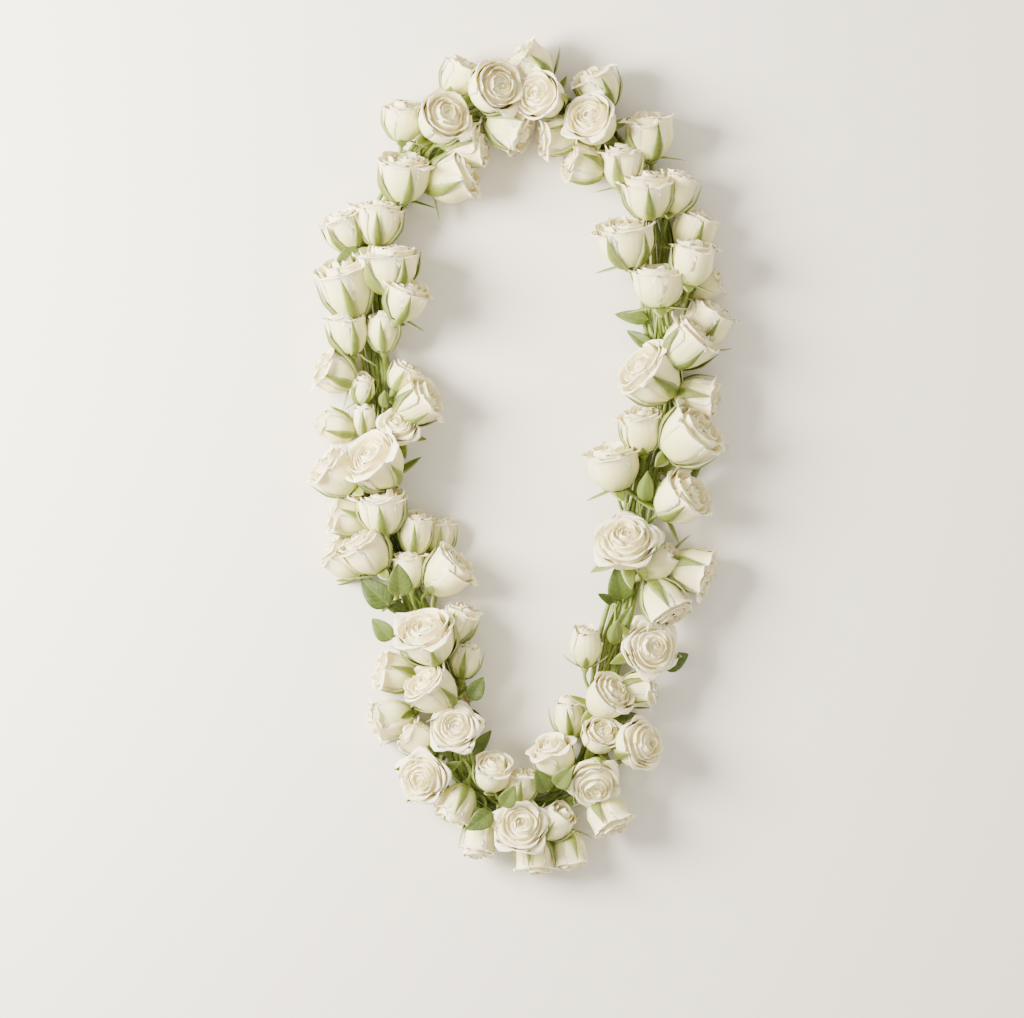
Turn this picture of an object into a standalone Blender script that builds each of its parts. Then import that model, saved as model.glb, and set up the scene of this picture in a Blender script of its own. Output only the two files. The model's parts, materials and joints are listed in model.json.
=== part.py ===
"""A lei of white spray roses, laid flat in a closed loop.

Each rose keeps a short stem, and the stems are bound side by side on a braided backing
cord. The loop lies in the XY plane with its chest end at -Y. It rests on the undersides
of the twine ties, at Z = 0.
"""

import math
from collections import namedtuple

import bmesh
import bpy
import numpy as np
from mathutils import Matrix, Vector
from mathutils.bvhtree import BVHTree

MM = 0.001

# Scale: a head of this kind of spray rose is about 27 mm across, 45 pixels in the photograph
HEAD_WIDTH = 27.0 * MM
HEAD_WIDTH_IN_PHOTO = 45.0
PIXEL = HEAD_WIDTH / HEAD_WIDTH_IN_PHOTO
PHOTO_CENTRE = (523.3, 455.7)

# Heights of the bound core, from the surface up
CLEARANCE = 0.3 * MM
TIE_WALL = 0.8 * MM
CORD_WIDTH = 3.2 * MM
CORD_HEIGHT = 2.6 * MM
CORD_BOTTOM = TIE_WALL + CLEARANCE
BUNDLE_BOTTOM = CORD_BOTTOM + CORD_HEIGHT + CLEARANCE

# The bundle of stems that runs along the loop
STEMS_ABREAST = 5
STEM_PITCH = 3.5 * MM
STEM_RADIUS = 1.95 * MM
BUNDLE_TOP = BUNDLE_BOTTOM + 2.0 * STEM_RADIUS
BUNDLE_MIDDLE = 0.5 * (BUNDLE_BOTTOM + BUNDLE_TOP)
BUNDLE_HALF_WIDTH = 0.5 * (STEMS_ABREAST - 1) * STEM_PITCH + STEM_RADIUS
STEM_GROOVE = 1.1 * MM
BUNDLE_EDGE_LIFT = 0.9 * MM
BUNDLE_SHOULDER = 1.4 * MM
BUNDLE_SHOULDER_DROP = 1.2 * MM
BUNCHES = 6
BUNCH_SECTIONS = 6

# The twine ties between the bunches: half width of the flat foot, how far the sides stand
# off the bundle, how far below its middle they are widest, and the bevel of their shoulders
TIE_LENGTH = 5.0 * MM
TIE_TOP = BUNDLE_TOP + CLEARANCE + TIE_WALL
TIE_FOOT = 2.3 * MM
TIE_BULGE = 1.3 * MM
TIE_WAIST_DROP = 0.6 * MM
TIE_SHOULDER = 1.2 * MM

# Petals
HEAD_FULLNESS = 1.06
PETAL_THICKNESS = 1.3 * MM
PETAL_SLIT = math.radians(2.0)
PETAL_LAP = math.radians(7.0)
TIP_SCATTER = 0.05
SMALLEST_HEAD = 300.0 * MM ** 3

# Sprays: how many heads share one, and how many sprays the heads are grouped into
BLOSSOMS_PER_SPRAY = 4
ROSE_SPRAYS = 42
SEED = 17

# Hips and stems; a stem shorter than SHORT_STEM runs straight, a longer one bends below its neck
HIP_RADIUS = 3.6 * MM
HIP_LENGTH = 4.4 * MM
NECK_RADIUS = 1.6 * MM
ROOT_RADIUS = 1.0 * MM
STEM_COLUMNS = 4
SHORT_STEM = 20.0 * MM
STEM_BEND = 9.0 * MM
STEM_BEND_SHARE = 0.45
ROOT_MARGIN = 5.5 * MM
ROOT_INSET = 3.2 * MM

# A stem looks for a free way to the bundle: how far along the loop its root lies from its neck,
# and how far its middle sways sideways and up, in millimetres
ROOT_SHIFTS = (13.0, 8.0, 18.0, 3.0, 23.0, -4.0, -10.0)
ROOT_SWAYS = ((0.0, 0.0), (0.0, -4.0), (4.0, 0.0), (-4.0, 0.0), (7.0, -3.0), (-7.0, -3.0))

# What it costs a stem to cross a piece that it can't be joined to, a head or a stem of its bunch
BLOCKED_COST = 20
HEAD_COST = 4
STEM_COST = 1

# Sepals
SEPAL_WIDTH = 4.6 * MM
SEPAL_THICKNESS = 1.0 * MM
SEPAL_STANDOFF = 1.3 * MM
SEPAL_FOOT = 2.0 * MM

# Leaves, as shares of their length; half outline as pairs along and across
LEAF_OUTLINE = ((0.10, 0.20), (0.34, 0.33), (0.64, 0.25), (0.86, 0.10))
LEAF_MIDRIB = (0.34, 0.66)
LEAF_FOLD = 0.30
LEAF_DROOP = 0.22
LEAF_SUNK = 0.08
LEAF_THICKNESS = 0.9 * MM
STALK_RADIUS = 0.9 * MM
STALK_SIDES = 3

# Closed green buds: stations along and radii, as shares of their length
BUD_PROFILE = ((0.0, 0.07), (0.16, 0.19), (0.52, 0.21), (0.82, 0.11))
BUD_SIDES = 5

# Heights at which a leaf or a green bud looks for room, in millimetres
PERCH_HEIGHTS = (24.0, 30.0, 18.0, 35.0, 13.0, 9.0)

# Ways to clean what a Boolean makes, tried until one gives a closed body: the solver, the
# distance at which points merge and the angle below which faces count as flat
CLEANINGS = (
    ("EXACT", 0.001 * MM, math.radians(0.8)),
    ("MANIFOLD", 0.001 * MM, math.radians(0.8)),
    ("EXACT", 0.0002 * MM, 0.0),
    ("MANIFOLD", 0.0002 * MM, 0.0),
)

# The middle line of the stem bundle, in photograph pixels, closed behind the neck
ROUTE = (
    (408, 170), (388, 205), (374, 245), (368, 290), (372, 340), (378, 390), (376, 440),
    (372, 490), (384, 545), (408, 595), (432, 640), (452, 690), (458, 735), (466, 775),
    (492, 803), (525, 808), (562, 798), (590, 765), (600, 725), (604, 690), (612, 640),
    (622, 600), (634, 550), (640, 500), (652, 450), (662, 400), (662, 350), (656, 310),
    (660, 270), (658, 230), (648, 200), (630, 168), (598, 130), (558, 106), (519, 98),
    (480, 106), (440, 130),
)

# A rose head: centre, width and height in photograph pixels, the direction of its mouth in
# the plane of the loop, its tilt up from that plane in degrees, its kind and its layer
Head = namedtuple("Head", "x y width height mouth tilt kind layer")
CUP, ROSETTE, BUD, SMALL = "cup", "rosette", "bud", "small"
LOW, MIDDLE, FRONT = 0, 1, 2
# Heads lean up from the bound core by this many degrees more, so that hips tuck under mouths
LAYER_NOD = {LOW: 10.0, MIDDLE: 16.0, FRONT: 20.0}

# A whorl of petals: radii as shares of the head's radius and heights as shares of its height
Whorl = namedtuple("Whorl", "left right belly belly_height inner_height lip_left lip_right "
                            "lip_height tip tip_height")
Form = namedtuple("Form", "petals rings whorls top")

CUP_WHORL = Whorl(0.86, 0.99, 1.00, 0.36, 0.50, 0.90, 1.05, 0.84, 1.08, 1.00)
BUD_WHORL = Whorl(0.84, 0.98, 1.00, 0.38, 0.50, 0.62, 0.76, 0.86, 0.62, 1.00)
OPEN_WHORL = Whorl(0.84, 0.97, 0.98, 0.40, 0.50, 0.98, 1.10, 0.74, 1.12, 0.80)
HEART_WHORL = Whorl(0.54, 0.66, 0.68, 0.58, 0.66, 0.58, 0.70, 0.90, 0.62, 1.00)

FORMS = {
    CUP: Form(5, ((0.30, 0.0), (0.54, 0.46)), (CUP_WHORL,), 0.86),
    BUD: Form(4, ((0.30, 0.0), (0.50, 0.44)), (BUD_WHORL,), 0.80),
    ROSETTE: Form(5, ((0.32, 0.0), (0.54, 0.34), (0.36, 0.60)), (OPEN_WHORL, HEART_WHORL), 0.82),
    SMALL: Form(4, ((0.30, 0.0), (0.52, 0.44)), (CUP_WHORL,), 0.84),
}

# Sepals lie along the petals, stand away from them or bend back: radius of the middle row
# and the tip as shares of the head's radius, and their heights as shares of its height
SepalPose = namedtuple("SepalPose", "middle middle_height tip tip_height")
SEPAL_POSES = (
    SepalPose(0.97, 0.28, 1.06, 0.66),
    SepalPose(0.92, 0.12, 1.34, 0.34),
    SepalPose(0.72, -0.02, 1.25, -0.10),
    SepalPose(0.62, -0.16, 0.98, -0.42),
)
SEPALS = {CUP: 3, ROSETTE: 3, BUD: 3, SMALL: 2}

HEADS = (
    Head(400, 187, 50, 46, 85, 10, CUP, MIDDLE),
    Head(391, 221, 45, 42, 88, 5, CUP, FRONT),
    Head(348, 231, 40, 40, 110, 5, SMALL, LOW),
    Head(388, 262, 56, 46, 92, 5, CUP, FRONT),
    Head(347, 294, 50, 58, 105, 10, CUP, LOW),
    Head(397, 301, 42, 38, 70, 10, CUP, FRONT),
    Head(381, 337, 34, 40, 93, 5, BUD, FRONT),
    Head(350, 353, 40, 42, 100, 0, SMALL, LOW),
    Head(338, 389, 42, 40, 150, 5, SMALL, LOW),
    Head(367, 389, 26, 30, 80, 10, BUD, FRONT),
    Head(400, 377, 28, 30, 60, 0, SMALL, LOW),
    Head(412, 400, 42, 42, 30, 10, CUP, MIDDLE),
    Head(340, 426, 34, 38, 160, 0, BUD, LOW),
    Head(369, 420, 26, 32, 90, 0, BUD, MIDDLE),
    Head(392, 433, 38, 34, 100, 50, ROSETTE, FRONT),
    Head(379, 467, 54, 46, 130, 30, CUP, FRONT),
    Head(338, 474, 44, 44, 140, 5, SMALL, LOW),
    Head(382, 503, 47, 44, 95, 10, CUP, FRONT),
    Head(350, 515, 36, 40, 160, 0, SMALL, LOW),
    Head(374, 546, 44, 44, 125, 10, CUP, FRONT),
    Head(410, 538, 34, 42, 85, 5, SMALL, MIDDLE),
    Head(436, 537, 30, 38, 88, 0, SMALL, LOW),
    Head(345, 560, 38, 42, 140, 0, SMALL, LOW),
    Head(407, 579, 32, 36, 95, 0, SMALL, LOW),
    Head(443, 577, 44, 44, 45, 10, CUP, MIDDLE),
    Head(432, 642, 52, 46, 110, 30, CUP, FRONT),
    Head(455, 628, 36, 38, 70, 0, SMALL, LOW),
    Head(463, 665, 30, 36, 80, 0, BUD, LOW),
    Head(396, 674, 40, 42, 165, 5, SMALL, LOW),
    Head(437, 693, 46, 44, 135, 20, CUP, FRONT),
    Head(393, 721, 38, 42, 195, 0, SMALL, LOW),
    Head(455, 733, 44, 36, 90, 62, ROSETTE, FRONT),
    Head(418, 738, 34, 38, 150, 0, SMALL, LOW),
    Head(427, 770, 46, 40, 200, 60, ROSETTE, MIDDLE),
    Head(459, 803, 36, 40, 245, 5, SMALL, LOW),
    Head(492, 776, 36, 36, 80, 30, SMALL, MIDDLE),
    Head(480, 837, 34, 44, 260, 0, SMALL, LOW),
    Head(521, 791, 34, 36, 80, 0, SMALL, LOW),
    Head(522, 829, 48, 38, 90, 62, ROSETTE, FRONT),
    Head(536, 856, 38, 40, 270, 0, SMALL, LOW),
    Head(555, 760, 40, 40, 110, 20, SMALL, MIDDLE),
    Head(562, 811, 36, 38, 50, 20, BUD, FRONT),
    Head(575, 835, 34, 38, 280, 0, SMALL, LOW),
    Head(593, 777, 46, 38, 280, 50, ROSETTE, FRONT),
    Head(604, 811, 40, 40, 300, 10, SMALL, LOW),
    Head(634, 744, 46, 44, 10, 35, ROSETTE, LOW),
    Head(599, 740, 34, 34, 60, 45, SMALL, FRONT),
    Head(571, 719, 32, 42, 95, 5, BUD, LOW),
    Head(604, 701, 42, 40, 45, 30, CUP, FRONT),
    Head(639, 690, 34, 38, 5, 0, SMALL, LOW),
    Head(645, 649, 50, 40, 20, 60, ROSETTE, MIDDLE),
    Head(589, 648, 32, 40, 88, 5, BUD, MIDDLE),
    Head(659, 599, 42, 44, 300, 10, CUP, MIDDLE),
    Head(686, 560, 44, 46, 345, 5, CUP, LOW),
    Head(652, 553, 34, 42, 40, 10, BUD, MIDDLE),
    Head(622, 538, 56, 42, 95, 45, ROSETTE, FRONT),
    Head(674, 501, 50, 46, 35, 20, CUP, MIDDLE),
    Head(619, 467, 50, 44, 100, 5, CUP, MIDDLE),
    Head(638, 439, 42, 44, 95, 10, SMALL, LOW),
    Head(684, 441, 56, 50, 40, 15, CUP, FRONT),
    Head(693, 400, 40, 44, 350, 0, SMALL, LOW),
    Head(633, 374, 56, 48, 140, 15, CUP, FRONT),
    Head(685, 347, 48, 46, 45, 10, CUP, FRONT),
    Head(699, 324, 46, 44, 60, 0, SMALL, LOW),
    Head(655, 286, 48, 40, 92, 5, CUP, FRONT),
    Head(692, 263, 42, 44, 80, 0, SMALL, LOW),
    Head(701, 297, 34, 38, 30, 0, SMALL, LOW),
    Head(640, 247, 54, 46, 100, 10, CUP, FRONT),
    Head(687, 236, 42, 42, 70, 0, SMALL, LOW),
    Head(642, 211, 48, 46, 95, 10, CUP, FRONT),
    Head(670, 200, 42, 42, 75, 0, SMALL, LOW),
    Head(631, 183, 42, 44, 90, 5, CUP, LOW),
)

# Behind the neck the heads follow a rule: lateral offset in pixels, splay and tilt in degrees
NECK_HEADS = 14
NECK_START = (404, 160)
NECK_END = (634, 160)
NECK_PATTERN = ((30.0, 34.0, 5.0, LOW), (-26.0, -30.0, 5.0, LOW), (2.0, 6.0, 50.0, FRONT))
NECK_WIDTHS = (40.0, 50.0)
NECK_HEIGHT_SHARE = 0.95

# Leaves and closed green buds: base in photograph pixels, direction in the plane, rise in
# degrees and length in pixels
Leaf = namedtuple("Leaf", "x y heading rise length")
LEAVES = (
    Leaf(389, 606, 138, 14, 38),
    Leaf(401, 596, 92, 40, 36),
    Leaf(391, 640, 132, 12, 28),
    Leaf(447, 556, 82, 16, 36),
    Leaf(548, 792, 120, 45, 30),
    Leaf(556, 786, 50, 40, 28),
    Leaf(492, 812, 215, 20, 30),
    Leaf(503, 806, 60, 35, 26),
    Leaf(620, 690, 110, 35, 30),
    Leaf(664, 668, 30, 14, 28),
    Leaf(676, 296, 70, 30, 34),
    Leaf(668, 392, 60, 24, 36),
    Leaf(624, 602, 100, 40, 40),
    Leaf(664, 474, 40, 30, 28),
    Leaf(470, 700, 60, 14, 26),
    Leaf(360, 250, 215, 10, 30),
)

GREEN_BUDS = (
    Leaf(366, 456, 95, 55, 26),
    Leaf(384, 404, 80, 60, 26),
    Leaf(645, 498, 85, 45, 38),
    Leaf(682, 486, 45, 20, 30),
    Leaf(614, 640, 80, 50, 34),
)


def plane_point(x, y):
    """World X and Y of a point of the photograph."""
    return Vector(((x - PHOTO_CENTRE[0]) * PIXEL, (PHOTO_CENTRE[1] - y) * PIXEL, 0.0))


class Route:
    """The closed middle line of the bundle, as evenly spaced points."""

    SAMPLES = 720

    def __init__(self, pixels):
        corners = np.array([plane_point(*pixel)[:2] for pixel in pixels])
        fine = self._smooth(corners)
        steps = np.linalg.norm(np.roll(fine, -1, axis=0) - fine, axis=1)
        along = np.concatenate(([0.0], np.cumsum(steps)))
        self.length = along[-1]
        closed = np.vstack((fine, fine[:1]))
        stations = np.arange(self.SAMPLES) * self.length / self.SAMPLES
        self.points = np.column_stack([np.interp(stations, along, closed[:, k]) for k in (0, 1)])

    @staticmethod
    def _smooth(corners, steps=24):
        """Points of a closed Catmull-Rom curve through the corners."""
        t = np.arange(steps)[:, None] / steps
        spans = []
        for i in range(len(corners)):
            a, b, c, d = (corners[(i + k) % len(corners)] for k in (-1, 0, 1, 2))
            spans.append(0.5 * (2 * b + (c - a) * t + (2 * a - 5 * b + 4 * c - d) * t ** 2
                                + (3 * b - a - 3 * c + d) * t ** 3))
        return np.vstack(spans)

    def at(self, s):
        """Point and unit tangent at a distance s along the loop."""
        place = (s / self.length) % 1.0 * self.SAMPLES
        i = int(place)
        here = self.points[i % self.SAMPLES]
        after = self.points[(i + 1) % self.SAMPLES]
        tangent = Vector((*(self.points[(i + 3) % self.SAMPLES] - self.points[i - 2]), 0.0))
        return Vector((*(here + (after - here) * (place - i)), 0.0)), tangent.normalized()

    def nearest(self, point):
        """Distance along the loop and lateral offset (left positive) of the nearest point."""
        gaps = np.hypot(self.points[:, 0] - point[0], self.points[:, 1] - point[1])
        s = int(np.argmin(gaps)) * self.length / self.SAMPLES
        centre, tangent = self.at(s)
        side = Vector((-tangent.y, tangent.x, 0.0))
        return s, side.dot(Vector((point[0], point[1], 0.0)) - centre)

    def offset(self, s, lateral, height):
        """World point at a lateral offset and a height over the loop."""
        centre, tangent = self.at(s)
        return centre + Vector((-tangent.y, tangent.x, 0.0)) * lateral + Vector((0.0, 0.0, height))


class Rose:
    """One rose head: its centre, axis, radius and height."""

    def __init__(self, head, index):
        self.index = index
        self.kind = head.kind
        self.layer = head.layer
        self.radius = 0.5 * HEAD_FULLNESS * head.width * PIXEL
        self.height = head.height * PIXEL
        mouth = math.radians(head.mouth)
        tilt = math.radians(head.tilt + LAYER_NOD[head.layer])
        self.axis = Vector((math.cos(mouth) * math.cos(tilt), math.sin(mouth) * math.cos(tilt),
                            math.sin(tilt)))
        self.centre = plane_point(head.x, head.y)

    @property
    def base(self):
        """The point where the hip carries the petals."""
        return self.centre - self.axis * (0.5 * self.height)

    def frame(self):
        """Matrix from the rose's own frame, base at the origin and mouth at +Z."""
        side = Vector((0.0, 0.0, 1.0)).cross(self.axis)
        if side.length < 0.2:
            side = Vector((1.0, 0.0, 0.0))
        side = (side - self.axis * side.dot(self.axis)).normalized()
        turn = Matrix((side, self.axis.cross(side), self.axis)).transposed().to_4x4()
        return Matrix.Translation(self.base) @ turn


def neck_heads(route):
    """Rose heads over the arc behind the neck, mouths towards its top from both sides."""
    rng = np.random.default_rng(SEED)
    start, _ = route.nearest(plane_point(*NECK_END))
    finish, _ = route.nearest(plane_point(*NECK_START))
    span = (finish - start) % route.length
    heads = []
    for i in range(NECK_HEADS):
        share = (i + 0.5) / NECK_HEADS
        lateral, splay, tilt, layer = NECK_PATTERN[i % len(NECK_PATTERN)]
        centre, tangent = route.at(start + share * span)
        outward = Vector((tangent.y, -tangent.x, 0.0))
        point = centre + outward * lateral * PIXEL
        forward = 1.0 if share < 0.5 else -1.0
        mouth = math.degrees(math.atan2(tangent.y * forward, tangent.x * forward))
        width = rng.uniform(*NECK_WIDTHS)
        kind = CUP if layer == FRONT else SMALL
        heads.append(Head(PHOTO_CENTRE[0] + point.x / PIXEL, PHOTO_CENTRE[1] - point.y / PIXEL,
                          width, NECK_HEIGHT_SHARE * width, mouth - splay * forward, tilt, kind, layer))
    return heads


class Settling:
    """Lifts and shifts the heads until they press together like a packed garland.

    Each head is four spheres along its axis, the first round its hip. The photograph fixes
    its place in the plane, so it mostly moves up and down.
    """

    SPHERES = ((-0.64, 0.46), (-0.30, 0.42), (-0.04, 0.80), (0.22, 0.82))
    LAYER_HEIGHT = {LOW: 13.0 * MM, MIDDLE: 19.0 * MM, FRONT: 24.0 * MM}
    ROUNDS = 160
    PUSH = (0.10, 0.10, 0.22)
    UPWARD = 2.0
    LAYER_BIAS = 0.6 * MM
    FLOOR_LIFT = 0.5
    CEILING_SINK = 0.3
    SIDE_PUSH = 0.2
    HOMING = 0.06
    PULL = (0.25, 0.25, 0.4)
    PULL_SLACK = 0.02
    PRESS = 0.92
    SPRAY_PRESS = 0.96
    GRAVITY = 0.3 * MM
    DRIFT_LIMIT = 6.0 * MM
    CEILING = 46.0 * MM
    PETAL_REACH = 1.24
    CREEP = 0.3 * MM
    APART = 14
    BITE = 2

    def __init__(self, roses, route):
        self.roses = roses
        self.route = route
        self.axis = np.array([rose.axis for rose in roses])
        self.home = np.array([rose.centre[:2] for rose in roses])
        self.centre = np.array([(*rose.centre[:2], self.LAYER_HEIGHT[rose.layer]) for rose in roses])
        self.offset = np.array([[f * rose.height for f, _ in self.SPHERES] for rose in roses])
        self.size = np.array([[f * rose.radius for _, f in self.SPHERES] for rose in roses])
        self.links = []

    def spheres(self):
        """Centres of all the spheres, by head."""
        return self.centre[:, None, :] + self.axis[:, None, :] * self.offset[:, :, None]

    def closeness(self):
        """For each pair of heads, the smallest gap between their spheres."""
        balls = self.spheres().reshape(-1, 3)
        sizes = self.size.reshape(-1)
        gap = np.linalg.norm(balls[:, None] - balls[None], axis=2) - sizes[:, None] - sizes[None]
        count = len(self.roses)
        kinds = len(self.SPHERES)
        return gap.reshape(count, kinds, count, kinds).min(axis=(1, 3))

    def relax(self):
        """Presses the heads apart, lets them sink and draws them back to their places."""
        count = len(self.roses)
        kinds = len(self.SPHERES)
        press = np.full((count, count), self.PRESS)
        for a, b in self.links:
            press[a, b] = press[b, a] = self.SPRAY_PRESS
        press = np.repeat(np.repeat(press, kinds, axis=0), kinds, axis=1)
        owner = np.repeat(np.arange(count), kinds)
        sizes = self.size.reshape(-1)
        reach = (sizes[:, None] + sizes[None]) * press
        apart = owner[:, None] != owner[None]
        bias = np.array([self.LAYER_BIAS * (rose.layer - MIDDLE) for rose in self.roses])[owner]
        for _ in range(self.ROUNDS):
            balls = self.spheres().reshape(-1, 3)
            away = balls[:, None] - balls[None]
            distance = np.linalg.norm(away, axis=2) + 1e-9
            depth = np.where(apart & (distance < reach), reach - distance, 0.0)
            away[:, :, 2] += bias[:, None] - bias[None]
            away[:, :, 2] *= self.UPWARD
            away /= np.linalg.norm(away, axis=2)[:, :, None] + 1e-9
            push = (away * depth[:, :, None]).sum(axis=1) * np.array(self.PUSH)
            push[:, 2] += self.FLOOR_LIFT * np.maximum(0.0, sizes * self.PETAL_REACH - balls[:, 2])
            push[:, 2] -= self.CEILING_SINK * np.maximum(0.0, balls[:, 2] + sizes - self.CEILING)
            push += self.lift_off_bundle(balls, sizes)
            np.add.at(self.centre, owner, push)
            for a, b in self.links:
                self.pull(a, b)
            self.centre[:, :2] += self.HOMING * (self.home - self.centre[:, :2])
            drift = self.centre[:, :2] - self.home
            far = np.linalg.norm(drift, axis=1)[:, None] + 1e-9
            self.centre[:, :2] = self.home + drift * np.minimum(1.0, self.DRIFT_LIMIT / far)
            self.centre[:, 2] -= self.GRAVITY

    def lift_off_bundle(self, balls, sizes):
        """Push that keeps the spheres off the bound core."""
        points = self.route.points
        steps = np.linalg.norm(balls[:, None, :2] - points[None], axis=2)
        lateral = steps.min(axis=1)
        nearest = points[steps.argmin(axis=1)]
        beside = np.maximum(0.0, lateral - BUNDLE_HALF_WIDTH)
        above = np.maximum(0.0, balls[:, 2] - TIE_TOP)
        depth = np.maximum(0.0, sizes * self.PETAL_REACH - np.hypot(beside, above))
        outward = (balls[:, :2] - nearest) / (lateral[:, None] + 1e-9)
        push = np.zeros_like(balls)
        push[:, :2] = outward * (depth * self.SIDE_PUSH * (beside > 0.0))[:, None]
        push[:, 2] = depth * self.FLOOR_LIFT
        return push

    def pull(self, a, b):
        """Draws two heads of one spray together until they touch."""
        balls = self.spheres()
        away = balls[b][None] - balls[a][:, None]
        distance = np.linalg.norm(away, axis=2)
        reach = self.SPRAY_PRESS + self.PULL_SLACK
        gap = distance - (self.size[a][:, None] + self.size[b][None]) * reach
        i, j = np.unravel_index(gap.argmin(), gap.shape)
        if gap[i, j] > 0.0:
            step = away[i, j] / distance[i, j] * gap[i, j] * np.array(self.PULL)
            self.centre[a] += step
            self.centre[b] -= step

    def join_sprays(self, sprays):
        """Groups touching heads into sprays and links each to its nearest spray mate."""
        gap = self.closeness()
        group = {i: [i] for i in range(len(self.roses))}
        pairs = sorted((gap[a, b], a, b) for a in group for b in group if a < b)
        for _, a, b in pairs:
            if len({id(members) for members in group.values()}) <= sprays:
                break
            if group[a] is group[b] or len(group[a]) + len(group[b]) > BLOSSOMS_PER_SPRAY:
                continue
            self.links.append((a, b))
            group[a].extend(group[b])
            for member in group[b]:
                group[member] = group[a]
        return sorted({tuple(sorted(members)) for members in group.values()})

    def finish(self):
        """Writes the settled places back to the roses."""
        for rose, centre in zip(self.roses, self.centre):
            rose.centre = Vector(centre)

    def touch(self):
        """Creeps linked heads apart or together until their petals just cross."""
        members = {i: [i] for i in range(len(self.roses))}
        for a, b in self.links:
            step = (self.roses[a].centre - self.roses[b].centre).normalized() * self.CREEP
            for _ in range(self.APART):
                if not self.crossing(a, b):
                    break
                self.shift(members[b], -step)
            while not self.crossing(a, b):
                self.shift(members[b], step)
            self.shift(members[b], step * self.BITE)
            members[a].extend(members[b])
            for member in members[b]:
                members[member] = members[a]

    def crossing(self, a, b):
        """Whether the petals of two heads cross."""
        return Shape(rose_mesh(self.roses[a])).meets(Shape(rose_mesh(self.roses[b])))

    def shift(self, members, step):
        """Moves some heads by one step."""
        for member in members:
            self.roses[member].centre += step


def settled_roses(route):
    """All the rose heads in their settled places, and the sprays that they form."""
    heads = list(HEADS) + neck_heads(route)
    roses = [Rose(head, index) for index, head in enumerate(heads)]
    settling = Settling(roses, route)
    settling.relax()
    sprays = settling.join_sprays(ROSE_SPRAYS)
    settling.relax()
    settling.finish()
    settling.touch()
    return roses, sprays


def add_faces(bm, triangles):
    """Adds triangles given as vertex triples."""
    for triangle in triangles:
        bm.faces.new(triangle)


def add_petal(bm, vertex, whorl, lower, upper, start, pitch, inset, scatter):
    """Grows one petal out of the facet between two core rings.

    Its outside rises from the lower ring and its inside from the upper ring. They meet at
    the side edges and the lip. The left edge tucks inside the neighbour's right edge.
    """
    low_left, low_right = lower
    high_left, high_right = upper
    middle = start + 0.5 * pitch
    left = vertex(whorl.left, start + PETAL_SLIT, whorl.belly_height)
    right = vertex(whorl.right, start + pitch - PETAL_SLIT, whorl.belly_height)
    outer = vertex(whorl.belly, middle, whorl.belly_height)
    inner = vertex(whorl.belly - inset, middle, whorl.inner_height)
    lip_left = vertex(whorl.lip_left, start - PETAL_LAP, whorl.lip_height)
    lip_right = vertex(whorl.lip_right, start + pitch + PETAL_LAP, whorl.lip_height)
    tip = vertex(whorl.tip * scatter, middle, whorl.tip_height * (2.0 - scatter))
    add_faces(bm, (
        (low_left, outer, left), (low_left, low_right, outer), (low_right, right, outer),
        (left, outer, lip_left), (outer, tip, lip_left),
        (outer, right, lip_right), (outer, lip_right, tip),
        (high_left, left, inner), (high_left, inner, high_right), (high_right, inner, right),
        (left, lip_left, inner), (inner, lip_left, tip),
        (inner, lip_right, right), (inner, tip, lip_right),
        (low_left, left, high_left), (low_right, high_right, right),
    ))


def rose_mesh(rose):
    """A rose head: a small core whose facets are grown out into overlapping petals."""
    form = FORMS[rose.kind]
    rng = np.random.default_rng((SEED, rose.index))
    frame = rose.frame()
    twist = rng.uniform(0.0, math.tau)
    pitch = math.tau / form.petals
    bm = bmesh.new()

    def vertex(radius, angle, height):
        spread = rose.radius * radius
        local = Vector((spread * math.cos(angle + twist), spread * math.sin(angle + twist),
                        rose.height * height))
        return bm.verts.new(frame @ local)

    rings = [[vertex(radius, k * pitch, height) for k in range(form.petals)]
             for radius, height in form.rings]
    bm.faces.new(tuple(reversed(rings[0])))
    for level, whorl in enumerate(form.whorls):
        for k in range(form.petals):
            lower = (rings[level][k], rings[level][(k + 1) % form.petals])
            upper = (rings[level + 1][k], rings[level + 1][(k + 1) % form.petals])
            scatter = 1.0 + rng.uniform(-TIP_SCATTER, TIP_SCATTER)
            inset = PETAL_THICKNESS / rose.radius
            add_petal(bm, vertex, whorl, lower, upper, k * pitch, pitch, inset, scatter)
    top = vertex(0.0, 0.0, form.top)
    last = rings[-1]
    add_faces(bm, [(last[k], last[(k + 1) % form.petals], top) for k in range(form.petals)])
    return finished(bm)


def finished(bm):
    """Turns a closed bmesh into triangles that face outwards, as a mesh."""
    bmesh.ops.triangulate(bm, faces=bm.faces[:])
    bmesh.ops.recalc_face_normals(bm, faces=bm.faces[:])
    mesh = bpy.data.meshes.new("piece")
    bm.to_mesh(mesh)
    bm.free()
    return mesh


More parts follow.
